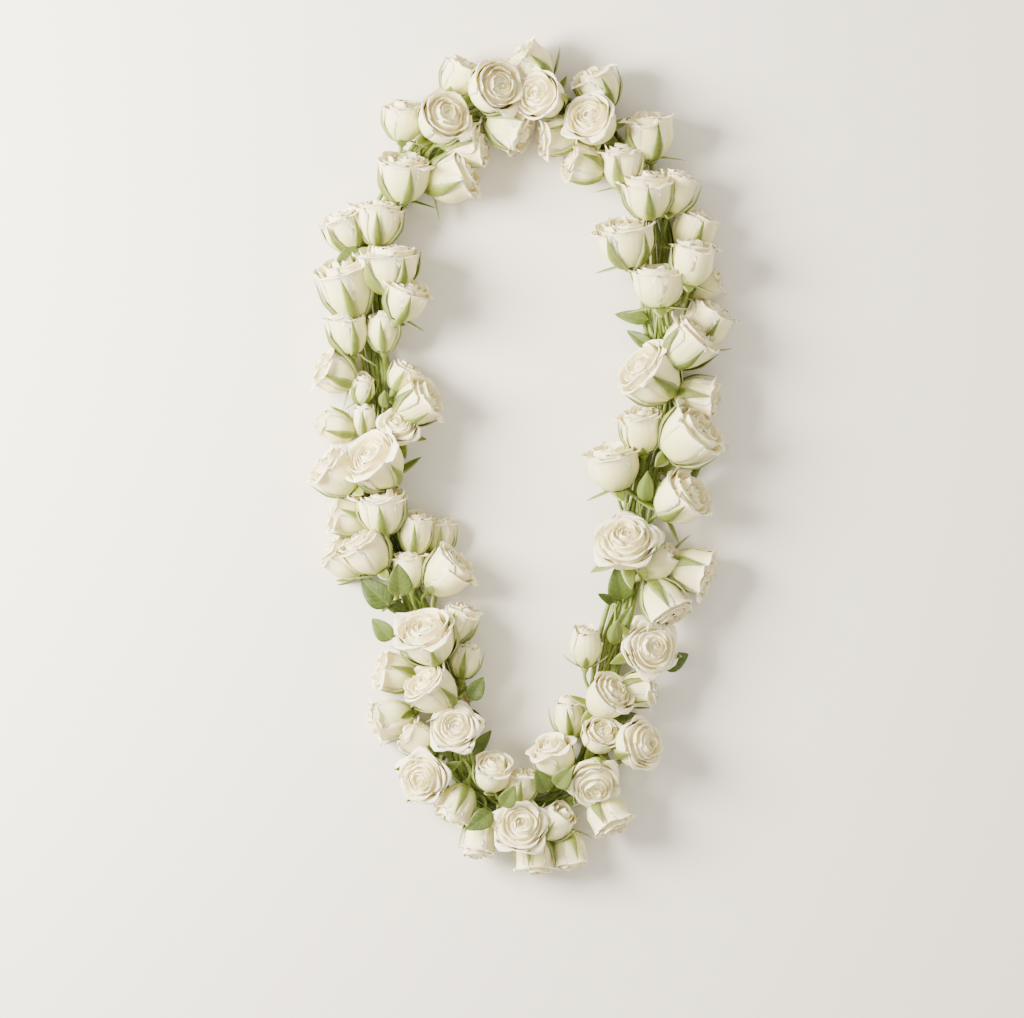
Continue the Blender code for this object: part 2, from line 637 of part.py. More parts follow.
def stem_rings(rose, route, root_s, root_lateral, sway, swell):
    """Rings of a flower's stem from its root in the bundle to the top of its hip.

    The middle ring is halfway along a quadratic curve from the neck to the root.
    """
    frame = rose.frame()
    axis = rose.axis
    top = rose.base - axis * (CLEARANCE - swell)
    neck = rose.base - axis * (CLEARANCE + HIP_LENGTH)
    root = route.offset(root_s, root_lateral, BUNDLE_MIDDLE)
    reach = (neck - root).length
    bend = neck - axis * min(STEM_BEND, STEM_BEND_SHARE * reach)
    middle = 0.25 * neck + 0.5 * bend + 0.25 * root
    middle += route.offset(root_s, sway[0] * MM, sway[1] * MM) - route.offset(root_s, 0.0, 0.0)
    side = frame.to_3x3() @ Vector((1.0, 0.0, 0.0))
    stations = (
        (top, axis, HIP_RADIUS),
        (neck, axis, NECK_RADIUS),
        (middle, (neck - root).normalized(), 0.9 * NECK_RADIUS),
        (root, (bend - root).normalized(), ROOT_RADIUS),
    )
    rings = []
    previous = axis
    if reach < SHORT_STEM:
        stations = stations[:2] + stations[3:]
    for centre, direction, radius in stations:
        side = previous.rotation_difference(direction) @ side
        across = direction.cross(side)
        previous = direction
        rings.append([centre + (side * math.cos(a) + across * math.sin(a)) * (radius + swell)
                      for a in (math.tau * (k + 0.5) / STEM_COLUMNS for k in range(STEM_COLUMNS))])
    rings.reverse()
    return rings


def sepal_points(rose, column, pose, swell):
    """Left, right, ridge and tip of a sepal that grows over one facet of the hip."""
    frame = rose.frame()
    angle = math.tau * (column + 1.0) / STEM_COLUMNS
    outward = Vector((math.cos(angle), math.sin(angle), 0.0))
    tangent = Vector((-outward.y, outward.x, 0.0))
    middle = outward * (pose.middle * rose.radius + SEPAL_STANDOFF)
    middle.z = pose.middle_height * rose.height
    tip = outward * (pose.tip * rose.radius + SEPAL_STANDOFF)
    tip.z = pose.tip_height * rose.height
    along = (tip - middle).normalized()
    normal = tangent.cross(along)
    half = 0.5 * SEPAL_WIDTH + swell
    return (frame @ (middle - tangent * half - normal * swell),
            frame @ (middle + tangent * half - normal * swell),
            frame @ (middle + normal * (SEPAL_THICKNESS + swell)),
            frame @ (tip + along * swell))


def stem_mesh(rose, route, root, sepals=(), swell=0.0):
    """A stem, its hip and the sepals that grow from the hip's facets."""
    rings_at = stem_rings(rose, route, *root, swell)
    bm = bmesh.new()
    rings = [[bm.verts.new(point) for point in ring] for ring in rings_at]
    bm.faces.new(tuple(reversed(rings[0])))
    bm.faces.new(rings[-1])
    poses = dict(sepals)
    for level in range(len(rings) - 1):
        for k in range(STEM_COLUMNS):
            a, b = rings[level][k], rings[level][(k + 1) % STEM_COLUMNS]
            c, d = rings[level + 1][(k + 1) % STEM_COLUMNS], rings[level + 1][k]
            if level + 2 < len(rings) or k not in poses:
                add_faces(bm, ((a, b, c), (a, c, d)))
                continue
            left, right, ridge, tip = (bm.verts.new(point) for point
                                       in sepal_points(rose, k, poses[k], swell))
            add_faces(bm, (
                (a, ridge, left), (a, b, ridge), (b, right, ridge), (left, ridge, tip),
                (ridge, right, tip), (d, left, right), (d, right, c), (left, tip, right),
                (a, left, d), (b, c, right),
            ))
    return finished(bm)


def bundle_profile(swell):
    """Lateral and height pairs round the bundle: ridged on top, one ridge for each stem."""
    half = BUNDLE_HALF_WIDTH + swell
    bottom = BUNDLE_BOTTOM - swell
    top = BUNDLE_TOP + swell
    if swell:
        side = top - BUNDLE_SHOULDER_DROP
        flat = half - BUNDLE_SHOULDER
        return ((-half, bottom), (half, bottom), (half, side), (flat, top), (-flat, top), (-half, side))
    points = [(-half, bottom + BUNDLE_EDGE_LIFT), (half, bottom + BUNDLE_EDGE_LIFT)]
    for k in reversed(range(STEMS_ABREAST)):
        ridge = (k - 0.5 * (STEMS_ABREAST - 1)) * STEM_PITCH
        points.append((ridge, top))
        if k:
            points.append((ridge - 0.5 * STEM_PITCH, top - STEM_GROOVE))
    return tuple(points)


def lofted(route, stations, profile, closed=False):
    """A mesh swept along the loop through the given stations."""
    bm = bmesh.new()
    rings = [[bm.verts.new(route.offset(s, lateral, height)) for lateral, height in profile]
             for s in stations]
    count = len(profile)
    spans = len(rings) if closed else len(rings) - 1
    for level in range(spans):
        lower = rings[level]
        upper = rings[(level + 1) % len(rings)]
        for k in range(count):
            j = (k + 1) % count
            add_faces(bm, ((lower[k], lower[j], upper[j]), (lower[k], upper[j], upper[k])))
    if not closed:
        bm.faces.new(rings[0])
        bm.faces.new(rings[-1])
    return finished(bm)


def tie_mesh(route, s, swell=0.0):
    """A twine tie: a flat-bottomed sleeve round the cord and the bundle."""
    side = BUNDLE_HALF_WIDTH + TIE_BULGE
    flat = BUNDLE_HALF_WIDTH - TIE_SHOULDER
    waist = BUNDLE_MIDDLE - TIE_WAIST_DROP
    roof = TIE_TOP - TIE_WALL
    inner = ((-TIE_FOOT, TIE_WALL), (TIE_FOOT, TIE_WALL), (side, waist),
             (flat, roof), (-flat, roof), (-side, waist))
    spread = TIE_WALL + swell
    steps = {TIE_WALL: (0.5, -1.0), waist: (0.9, 0.0), roof: (0.9, 1.0)}
    outer = [(lateral + math.copysign(spread * steps[height][0], lateral),
              height + spread * steps[height][1]) for lateral, height in inner]
    ends = (s - 0.5 * TIE_LENGTH - swell, s + 0.5 * TIE_LENGTH + swell)
    if swell:
        return lofted(route, ends, outer)
    bm = bmesh.new()
    skins = [[[bm.verts.new(route.offset(end, *point)) for point in ring] for end in ends]
             for ring in (outer, inner)]
    count = len(inner)
    for k in range(count):
        j = (k + 1) % count
        for near, far in skins:
            add_faces(bm, ((near[k], near[j], far[j]), (near[k], far[j], far[k])))
        for end in (0, 1):
            out, into = skins[0][end], skins[1][end]
            add_faces(bm, ((out[k], out[j], into[j]), (out[k], into[j], into[k])))
    return finished(bm)


def leaf_frame(leaf, height):
    """Matrix of a leaf: +X along its midrib, +Z out of its upper face."""
    heading = Matrix.Rotation(math.radians(leaf.heading), 4, "Z")
    rise = Matrix.Rotation(-math.radians(leaf.rise), 4, "Y")
    return Matrix.Translation(plane_point(leaf.x, leaf.y) + Vector((0.0, 0.0, height))) @ heading @ rise


def leaf_mesh(leaf, height):
    """A pointed leaf, folded along its midrib and thin towards its edges."""
    frame = leaf_frame(leaf, height)
    length = leaf.length * PIXEL
    bm = bmesh.new()

    def vertex(along, across, lift):
        droop = -LEAF_DROOP * along * along * length
        fold = LEAF_FOLD * abs(across) * length
        return bm.verts.new(frame @ Vector((along * length, across * length, droop + fold + lift)))

    base = vertex(0.0, 0.0, 0.0)
    tip = vertex(1.0, 0.0, 0.0)
    ribs = [[vertex(along, 0.0, side * 0.5 * LEAF_THICKNESS) for along in LEAF_MIDRIB]
            for side in (1.0, -1.0)]
    for hand in (1.0, -1.0):
        edge = [vertex(along, hand * across, 0.0) for along, across in LEAF_OUTLINE]
        for near, far in ribs:
            add_faces(bm, ((base, edge[0], near), (edge[0], edge[1], near), (edge[1], far, near),
                           (edge[1], edge[2], far), (edge[2], edge[3], far), (edge[3], tip, far)))
    return finished(bm)


def stalk_mesh(start, stop, radius=STALK_RADIUS):
    """A slim stalk between two points."""
    along = (stop - start).normalized()
    side = along.orthogonal().normalized()
    across = along.cross(side)
    bm = bmesh.new()
    rings = []
    for centre in (start, stop):
        rings.append([bm.verts.new(centre + (side * math.cos(a) + across * math.sin(a)) * radius)
                      for a in (math.tau * k / STALK_SIDES for k in range(STALK_SIDES))])
    for k in range(STALK_SIDES):
        j = (k + 1) % STALK_SIDES
        add_faces(bm, ((rings[0][k], rings[0][j], rings[1][j]), (rings[0][k], rings[1][j], rings[1][k])))
    bm.faces.new(tuple(reversed(rings[0])))
    bm.faces.new(rings[1])
    return finished(bm)


def green_bud_mesh(leaf, height):
    """A closed bud, wrapped in its sepals down to one point."""
    frame = leaf_frame(leaf, height) @ Matrix.Rotation(0.5 * math.pi, 4, "Y")
    length = leaf.length * PIXEL
    bm = bmesh.new()
    angles = [math.tau * k / BUD_SIDES for k in range(BUD_SIDES)]
    rings = [[bm.verts.new(frame @ (Vector((radius * math.cos(a), radius * math.sin(a), along)) * length))
              for a in angles] for along, radius in BUD_PROFILE]
    tip = bm.verts.new(frame @ Vector((0.0, 0.0, length)))
    bm.faces.new(tuple(reversed(rings[0])))
    for lower, upper in zip(rings, rings[1:]):
        for k in range(BUD_SIDES):
            j = (k + 1) % BUD_SIDES
            add_faces(bm, ((lower[k], lower[j], upper[j]), (lower[k], upper[j], upper[k])))
    last = rings[-1]
    add_faces(bm, [(last[k], last[(k + 1) % BUD_SIDES], tip) for k in range(BUD_SIDES)])
    return finished(bm)


def tree_of(mesh):
    """Search tree of a triangle mesh."""
    points = [vertex.co.copy() for vertex in mesh.vertices]
    return BVHTree.FromPolygons(points, [tuple(face.vertices) for face in mesh.polygons])


def box_of(mesh):
    """Lowest and highest corner of a mesh."""
    points = np.array([vertex.co for vertex in mesh.vertices])
    return points.min(axis=0), points.max(axis=0)


class Shape:
    """A mesh with its search tree and its box, for overlap tests."""

    RAY = Vector((0.38, 0.27, 0.88)).normalized()
    STEP_PAST = 0.001 * MM

    def __init__(self, mesh):
        self.mesh = mesh
        self.tree = tree_of(mesh)
        self.low, self.high = box_of(mesh)

    def meets(self, other):
        """Whether the surfaces of the two shapes cross, or one lies inside the other."""
        if (self.low > other.high).any() or (other.low > self.high).any():
            return False
        return bool(self.tree.overlap(other.tree)) or self.holds(other) or other.holds(self)

    def holds(self, other):
        """Whether the first point of another shape is inside this one, by counting walls."""
        walls = 0
        place = self.tree.ray_cast(other.mesh.vertices[0].co, self.RAY)[0]
        while place is not None:
            walls += 1
            place = self.tree.ray_cast(place + self.RAY * self.STEP_PAST, self.RAY)[0]
        return walls % 2 == 1


def closed_mesh(mesh):
    """Whether every edge of the mesh has exactly two faces."""
    bm = bmesh.new()
    bm.from_mesh(mesh)
    closed = bool(bm.faces) and all(edge.is_manifold for edge in bm.edges)
    bm.free()
    return closed


def boolean(mesh, tools, operation, whole=True):
    """The result of one Boolean of a collection of meshes on a mesh, as clean triangles.

    A whole result is one shell, without the scraps that a cut leaves.
    """
    if not tools:
        return mesh
    target = bpy.data.objects.new("target", mesh)
    bpy.context.scene.collection.objects.link(target)
    group = bpy.data.collections.new("tools")
    bpy.context.scene.collection.children.link(group)
    for tool in tools:
        group.objects.link(bpy.data.objects.new("tool", tool))
    modifier = target.modifiers.new("join", "BOOLEAN")
    modifier.operation = operation
    modifier.operand_type = "COLLECTION"
    modifier.collection = group
    for solver, merge, flat_angle in CLEANINGS:
        modifier.solver = solver
        depsgraph = bpy.context.evaluated_depsgraph_get()
        joined = bpy.data.meshes.new_from_object(target.evaluated_get(depsgraph))
        result = cleaned(joined, merge, flat_angle, whole)
        if closed_mesh(result):
            break
    for tool in list(group.objects):
        bpy.data.objects.remove(tool)
    bpy.data.collections.remove(group)
    bpy.data.objects.remove(target)
    return result


def cleaned(mesh, merge, flat_angle, whole):
    """Merges doubled points and flat faces, drops scraps and splits faces into triangles."""
    bm = bmesh.new()
    bm.from_mesh(mesh)
    bmesh.ops.remove_doubles(bm, verts=bm.verts[:], dist=merge)
    if flat_angle:
        bmesh.ops.dissolve_limit(bm, angle_limit=flat_angle, verts=bm.verts[:], edges=bm.edges[:])
    bmesh.ops.triangulate(bm, faces=bm.faces[:])
    if whole:
        for shell in shells_of(bm)[1:]:
            delete_shell(bm, shell)
    result = bpy.data.meshes.new("piece")
    bm.to_mesh(result)
    bm.free()
    return result


def shells_of(bm):
    """The loose shells of a bmesh as lists of faces, the largest first."""
    waiting = set(bm.faces)
    shells = []
    while waiting:
        stack = [waiting.pop()]
        shell = []
        while stack:
            face = stack.pop()
            shell.append(face)
            for edge in face.edges:
                for neighbour in edge.link_faces:
                    if neighbour in waiting:
                        waiting.remove(neighbour)
                        stack.append(neighbour)
        shells.append(shell)
    return sorted(shells, key=shell_volume, reverse=True)


def delete_shell(bm, shell):
    """Deletes the faces of a shell and the points that they leave loose."""
    bmesh.ops.delete(bm, geom=shell, context="FACES")
    loose = [vertex for vertex in bm.verts if not vertex.link_faces]
    bmesh.ops.delete(bm, geom=loose, context="VERTS")


def separate_shells(mesh):
    """One mesh for each shell that is large enough to be a head."""
    bm = bmesh.new()
    bm.from_mesh(mesh)
    count = sum(shell_volume(shell) > SMALLEST_HEAD for shell in shells_of(bm))
    bm.free()
    meshes = []
    for kept in range(count):
        bm = bmesh.new()
        bm.from_mesh(mesh)
        for place, shell in enumerate(shells_of(bm)):
            if place != kept:
                delete_shell(bm, shell)
        part = bpy.data.meshes.new("piece")
        bm.to_mesh(part)
        bm.free()
        meshes.append(part)
    return meshes


def shell_volume(faces):
    """Size of the volume that a shell of faces encloses."""
    total = 0.0
    for face in faces:
        first = face.verts[0].co
        for a, b in zip(face.verts[1:], face.verts[2:]):
            total += first.dot(a.co.cross(b.co)) / 6.0
    return abs(total)


def half_space(point, normal, size=90.0 * MM):
    """A large block whose face lies on a plane and whose body lies beyond it."""
    bm = bmesh.new()
    turn = Vector((0.0, 0.0, 1.0)).rotation_difference(normal).to_matrix().to_4x4()
    matrix = Matrix.Translation(point + normal * (0.5 * size)) @ turn
    bmesh.ops.create_cube(bm, size=size, matrix=matrix)
    return finished(bm)


class Garland:
    """Chooses the places of all pieces, so that they touch nothing that isn't theirs."""

    def __init__(self):
        self.route = Route(ROUTE)
        self.roses, self.sprays = settled_roses(self.route)
        self.bunch_length = self.route.length / BUNCHES
        self.spray_of = {i: k for k, spray in enumerate(self.sprays) for i in spray}
        self.heads = [Shape(rose_mesh(rose)) for rose in self.roses]
        self.bundles = [Shape(self.bundle(k, 0.0)) for k in range(BUNCHES)]
        self.ties = [Shape(tie_mesh(self.route, k * self.bunch_length)) for k in range(BUNCHES)]
        self.cord = Shape(self.cord_mesh())
        self.roots = {}
        self.bunch_of = {}
        self.stems = {}
        self.own = {}
        self.greens = [[bundle] for bundle in self.bundles]
        self.blooms = []

    def bundle(self, k, swell):
        """The bundled stems of one bunch."""
        start = k * self.bunch_length + 0.5 * CLEARANCE - swell
        stop = (k + 1) * self.bunch_length - 0.5 * CLEARANCE + swell
        stations = [start + (stop - start) * i / BUNCH_SECTIONS for i in range(BUNCH_SECTIONS + 1)]
        return lofted(self.route, stations, bundle_profile(swell))

    def cord_mesh(self):
        """The backing cord, closed round the whole loop, with a flat underside."""
        half = 0.5 * CORD_WIDTH
        top = CORD_BOTTOM + CORD_HEIGHT
        profile = ((-half, CORD_BOTTOM), (half, CORD_BOTTOM), (half, top), (-half, top))
        count = BUNCHES * BUNCH_SECTIONS
        stations = [self.route.length * i / count for i in range(count)]
        return lofted(self.route, stations, profile, closed=True)

    def root_place(self, s, lateral):
        """The bunch nearest to a place on the loop, and where a stem can sink into it."""
        place = s % self.route.length
        bunch = int(place / self.bunch_length)
        start = bunch * self.bunch_length
        place = max(start + ROOT_MARGIN, min(start + self.bunch_length - ROOT_MARGIN, place))
        limit = BUNDLE_HALF_WIDTH - ROOT_INSET
        return bunch, place, max(-limit, min(limit, lateral))

    def root_choices(self, rose):
        """Possible roots in the bundle, first those along the run of the stem."""
        neck = rose.base - rose.axis * HIP_LENGTH
        s, lateral = self.route.nearest(neck)
        _, tangent = self.route.at(s)
        forward = -1.0 if rose.axis.dot(tangent) > 0.0 else 1.0
        for shift in ROOT_SHIFTS:
            bunch, place, lateral = self.root_place(s + forward * shift * MM, lateral)
            for landing in (lateral, 0.0, -lateral):
                for sway in ROOT_SWAYS:
                    yield bunch, (place, landing, sway)

    def place_stems(self):
        """Gives each rose the stem that crosses the fewest heads."""
        for rose in self.roses:
            best = None
            for bunch, root in self.root_choices(rose):
                stem = Shape(stem_mesh(rose, self.route, root, swell=CLEARANCE))
                foreign = [shape for k, group in enumerate(self.greens) if k != bunch
                           for shape in group]
                bare = Shape(stem_mesh(rose, self.route, root))
                cost = BLOCKED_COST * sum(stem.meets(shape) for shape in (*foreign, *self.ties, self.cord))
                cost += BLOCKED_COST * (stem.low[2] < CLEARANCE)
                cost += BLOCKED_COST * bare.meets(self.heads[rose.index])
                cost += HEAD_COST * sum(stem.meets(head) for other, head in zip(self.roses, self.heads)
                                        if other is not rose)
                cost += STEM_COST * sum(stem.meets(shape) for shape in self.greens[bunch][1:])
                if best is None or cost < best[0]:
                    best = (cost, bunch, root, stem, bare)
                if cost == 0:
                    break
            _, bunch, root, stem, bare = best
            self.roots[rose.index] = root
            self.bunch_of[rose.index] = bunch
            self.stems[rose.index] = stem
            self.own[rose.index] = bare
            self.greens[bunch].append(bare)

    def cutters(self, rose):
        """Meshes that trim one head: the surface, foreign heads, the bound core and stems."""
        head = self.heads[rose.index]
        tools = []
        if head.low[2] < 0.0:
            tools.append(half_space(Vector((*rose.centre[:2], 0.0)), Vector((0.0, 0.0, -1.0))))
        for other in self.roses:
            if self.spray_of[other.index] == self.spray_of[rose.index]:
                continue
            if head.meets(self.heads[other.index]):
                tools.append(half_space(*contact_plane(rose, other)))
        for k in range(BUNCHES):
            if head.meets(Shape(self.bundle(k, CLEARANCE))):
                tools.append(self.bundle(k, CLEARANCE))
            tie = tie_mesh(self.route, k * self.bunch_length, CLEARANCE)
            if head.meets(Shape(tie)):
                tools.append(tie)
        for index, stem in self.stems.items():
            if index != rose.index and head.meets(stem):
                tools.append(stem.mesh.copy())
        if head.meets(self.own[rose.index]):
            tools.append(stem_mesh(rose, self.route, self.roots[rose.index], swell=0.5 * CLEARANCE))
        return tools

    def join_sprays(self):
        """Trims the heads and joins those of each spray into one body."""
        for spray in self.sprays:
            trimmed = [boolean(self.heads[i].mesh, self.cutters(self.roses[i]), "DIFFERENCE")
                       for i in spray]
            joined = boolean(trimmed[0], trimmed[1:], "UNION", whole=False)
            self.blooms.extend(Shape(mesh) for mesh in separate_shells(joined))

    def clear(self, shape, bunch, own=()):
        """Whether a shape of a bunch is free of the surface and of all other pieces.

        It may cross the pieces of its own bunch that are listed as its own.
        """
        if shape.low[2] < CLEARANCE:
            return False
        if any(shape.meets(other) for other in (*self.blooms, *self.ties, self.cord)):
            return False
        return not any(shape.meets(other) for group in self.greens for other in group
                       if all(other is not mine for mine in own))

    def place_sepals(self):
        """Gives each hip the sepals that find room, in the first pose that is free."""
        for rose in self.roses:
            bunch = self.bunch_of[rose.index]
            root = self.roots[rose.index]
            plain = self.own[rose.index]
            chosen = []
            for column in self.columns_from_above(rose):
                if len(chosen) == SEPALS[rose.kind]:
                    break
                for pose in SEPAL_POSES:
                    probe = Shape(sepal_probe(rose, column, pose))
                    trial = Shape(stem_mesh(rose, self.route, root, (*chosen, (column, pose))))
                    if self.clear(probe, bunch, (plain,)) and self.clear(trial, bunch, self.greens[bunch]):
                        chosen.append((column, pose))
                        self.own[rose.index] = trial
                        break
            self.greens[bunch] = [self.own[rose.index] if shape is plain else shape
                                  for shape in self.greens[bunch]]

    def columns_from_above(self, rose):
        """The hip's facets, first those that face up."""
        turn = rose.frame().to_3x3()
        angles = [math.tau * (column + 1.0) / STEM_COLUMNS for column in range(STEM_COLUMNS)]
        lift = [(turn @ Vector((math.cos(a), math.sin(a), 0.0))).z for a in angles]
        return sorted(range(STEM_COLUMNS), key=lambda column: -round(lift[column], 4))

    def place_leaves(self):
        """Sets the leaves and green buds at the first height where they are free."""
        makers = [leaf_mesh] * len(LEAVES) + [green_bud_mesh] * len(GREEN_BUDS)
        for leaf, maker in zip(LEAVES + GREEN_BUDS, makers):
            bunch, place, lateral = self.root_place(*self.route.nearest(plane_point(leaf.x, leaf.y)))
            root = self.route.offset(place, lateral, BUNDLE_MIDDLE)
            for height in PERCH_HEIGHTS:
                blade = Shape(maker(leaf, height * MM))
                frame = leaf_frame(leaf, height * MM)
                sunk = frame @ Vector((LEAF_SUNK * leaf.length * PIXEL, 0.0, 0.0))
                stalk = Shape(stalk_mesh(root, sunk))
                if self.clear(blade, bunch) and self.clear(stalk, bunch, self.greens[bunch]):
                    self.greens[bunch].extend((blade, stalk))
                    break


def sepal_probe(rose, column, pose):
    """A swollen sepal on its own, as a closed shape from the hip's edge to the tip."""
    left, right, ridge, tip = sepal_points(rose, column, pose, CLEARANCE)
    frame = rose.frame()
    angle = math.tau * (column + 1.0) / STEM_COLUMNS
    foot = frame @ Vector((math.cos(angle) * HIP_RADIUS, math.sin(angle) * HIP_RADIUS, -SEPAL_FOOT))
    bm = bmesh.new()
    a, b, c, d, e = (bm.verts.new(point) for point in (foot, left, right, ridge, tip))
    add_faces(bm, ((a, d, b), (a, c, d), (a, b, c), (b, d, e), (d, c, e), (b, e, c)))
    return finished(bm)


def contact_plane(rose, other):
    """A point and normal of the plane at which a head stops in front of a foreign one."""
    balls = [[(head.centre + head.axis * (f * head.height), r * head.radius)
              for f, r in Settling.SPHERES] for head in (rose, other)]
    best = None
    for here, here_radius in balls[0]:
        for there, there_radius in balls[1]:
            normal = (there - here).normalized()
            gap = (there - here).length - here_radius - there_radius
            point = here + normal * (here_radius + 0.5 * gap)
            loss = max(normal.dot(c - point) + r for c, r in balls[0])
            loss += max(normal.dot(point - c) + r for c, r in balls[1])
            if best is None or loss < best[0]:
                best = (loss, point, normal)
    _, point, normal = best
    return point - normal * (0.5 * CLEARANCE), normal


def material(name, colour, roughness):
    """A Principled material with a plain colour."""
    result = bpy.data.materials.new(name)
    result.use_nodes = True
    shader = result.node_tree.nodes["Principled BSDF"]
    shader.inputs["Base Color"].default_value = (*colour, 1.0)
    shader.inputs["Roughness"].default_value = roughness
    shader.inputs["Metallic"].default_value = 0.0
    result.diffuse_color = (*colour, 1.0)
    return result


def add_piece(collection, name, mesh, finish):
    """Puts a mesh into the scene as a named piece with its material."""
    mesh.name = name
    mesh.materials.clear()
    mesh.materials.append(finish)
    collection.objects.link(bpy.data.objects.new(name, mesh))


def main():
    """Builds the lei."""
    for item in list(bpy.data.objects):
        bpy.data.objects.remove(item)
    garland = Garland()
    garland.place_stems()
    garland.join_sprays()
    garland.place_sepals()
    garland.place_leaves()

    collection = bpy.data.collections.new("lei")
    bpy.context.scene.collection.children.link(collection)
    petal = material("white_petal", (0.86, 0.84, 0.74), 0.55)
    green = material("stem_green", (0.24, 0.36, 0.10), 0.50)
    twine = material("jute_twine", (0.50, 0.42, 0.26), 0.90)
    cord = material("braided_cord", (0.62, 0.56, 0.40), 0.85)
    for k, bloom in enumerate(garland.blooms, 1):
        add_piece(collection, f"rose_spray_{k:02d}", bloom.mesh, petal)
    for k, pieces in enumerate(garland.greens, 1):
        meshes = [piece.mesh for piece in pieces]
        add_piece(collection, f"stem_bunch_{k:02d}", boolean(meshes[0], meshes[1:], "UNION"), green)
    for k, tie in enumerate(garland.ties, 1):
        add_piece(collection, f"twine_tie_{k:02d}", tie.mesh, twine)
    add_piece(collection, "backing_cord", garland.cord.mesh, cord)


main()
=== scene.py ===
"""The looks of a lei of white spray roses that lies flat in a closed loop.

The layout of the heads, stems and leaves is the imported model's own. Each piece is seated on
it by the corner points that it left there, and is then made again in full: petals in their
whorls, sepals, round stems, veined leaves, twine and braid.
"""

import json
import logging
import math
from collections.abc import Iterator
from dataclasses import dataclass, field
from enum import Enum, IntEnum

import bpy
import numpy as np
from bpy.types import ID, Material, Mesh, Node, NodeSocket, NodeTree, Object
from mathutils import Matrix, Vector
from mathutils.kdtree import KDTree

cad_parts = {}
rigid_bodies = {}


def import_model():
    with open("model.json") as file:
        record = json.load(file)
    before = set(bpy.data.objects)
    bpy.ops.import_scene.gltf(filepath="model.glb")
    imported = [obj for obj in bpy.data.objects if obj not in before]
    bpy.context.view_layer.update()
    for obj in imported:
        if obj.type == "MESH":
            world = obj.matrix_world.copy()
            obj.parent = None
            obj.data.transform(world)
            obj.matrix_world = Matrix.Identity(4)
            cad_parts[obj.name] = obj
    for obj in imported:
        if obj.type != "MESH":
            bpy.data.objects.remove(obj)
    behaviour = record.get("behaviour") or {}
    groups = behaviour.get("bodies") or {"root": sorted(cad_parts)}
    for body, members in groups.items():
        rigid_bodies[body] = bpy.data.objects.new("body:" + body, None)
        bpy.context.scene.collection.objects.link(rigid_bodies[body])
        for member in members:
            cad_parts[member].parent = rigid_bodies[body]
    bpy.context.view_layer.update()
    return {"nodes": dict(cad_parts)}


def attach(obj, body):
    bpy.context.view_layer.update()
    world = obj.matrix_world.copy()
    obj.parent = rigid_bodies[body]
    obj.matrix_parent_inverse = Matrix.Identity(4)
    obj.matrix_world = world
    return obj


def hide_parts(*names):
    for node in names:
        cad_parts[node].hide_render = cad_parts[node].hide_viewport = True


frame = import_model()
LOG = logging.getLogger("lei")
MM = 0.001
SEED = 17

# Scale: a head of this kind of spray rose is about 27 mm across, 45 pixels in the photograph
HEAD_WIDTH = 27.0 * MM
HEAD_WIDTH_IN_PHOTO = 45.0
PIXEL = HEAD_WIDTH / HEAD_WIDTH_IN_PHOTO
PHOTO_CENTRE = (523.3, 455.7)
PHOTO_SIZE = (1024, 1018)

# Heights and widths of the bound core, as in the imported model
CLEARANCE = 0.3 * MM
TIE_WALL = 0.8 * MM
CORD_HEIGHT = 2.6 * MM
CORD_BOTTOM = TIE_WALL + CLEARANCE
BUNDLE_BOTTOM = CORD_BOTTOM + CORD_HEIGHT + CLEARANCE
STEMS_ABREAST = 5
STEM_PITCH = 3.5 * MM
STEM_RADIUS = 1.95 * MM
BUNDLE_TOP = BUNDLE_BOTTOM + 2.0 * STEM_RADIUS
BUNDLE_MIDDLE = 0.5 * (BUNDLE_BOTTOM + BUNDLE_TOP)
BUNDLE_HALF_WIDTH = 0.5 * (STEMS_ABREAST - 1) * STEM_PITCH + STEM_RADIUS
TIE_TOP = BUNDLE_TOP + CLEARANCE + TIE_WALL
BUNCHES = 6

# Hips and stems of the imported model
HEAD_FULLNESS = 1.06
HIP_RADIUS = 3.6 * MM
HIP_LENGTH = 4.4 * MM
NECK_RADIUS = 1.6 * MM
STEM_COLUMNS = 4
CORNER_TURNS = tuple(math.tau * (k + 0.5) / STEM_COLUMNS for k in range(STEM_COLUMNS))
SHORT_STEM = 20.0 * MM
STEM_BEND = 9.0 * MM
STEM_BEND_SHARE = 0.45
ROOT_MARGIN = 5.5 * MM
ROOT_INSET = 3.2 * MM
ROOT_SHIFTS = (13.0, 8.0, 18.0, 3.0, 23.0, -4.0, -10.0)
ROOT_SWAYS = ((0.0, 0.0), (0.0, -4.0), (4.0, 0.0), (-4.0, 0.0), (7.0, -3.0), (-7.0, -3.0))
SEPAL_STANDOFF = 1.3 * MM

# Petals and sepals are made for a head of this size and then scaled to each
MODEL_RADIUS = 14.0 * MM
MODEL_HEIGHT = 25.0 * MM

# How thick a blade's rim is, as a share of its middle
RIM_SHARE = 0.35

# Below this height petals and leaves bend along the floor
FLOOR_EASE = 2.5 * MM

# The middle line of the stem bundle, in photograph pixels, closed behind the neck
ROUTE = (
    (408, 170), (388, 205), (374, 245), (368, 290), (372, 340), (378, 390), (376, 440),
    (372, 490), (384, 545), (408, 595), (432, 640), (452, 690), (458, 735), (466, 775),
    (492, 803), (525, 808), (562, 798), (590, 765), (600, 725), (604, 690), (612, 640),
    (622, 600), (634, 550), (640, 500), (652, 450), (662, 400), (662, 350), (656, 310),
    (660, 270), (658, 230), (648, 200), (630, 168), (598, 130), (558, 106), (519, 98),
    (480, 106), (440, 130),
)


class Kind(Enum):
    """How far a rose head has opened."""

    CUP = "cup"
    ROSETTE = "rosette"
    BUD = "bud"
    SMALL = "small"


class Layer(Enum):
    """How high a head lies; its value is how many degrees more it leans up."""

    LOW = 10.0
    MIDDLE = 16.0
    FRONT = 20.0


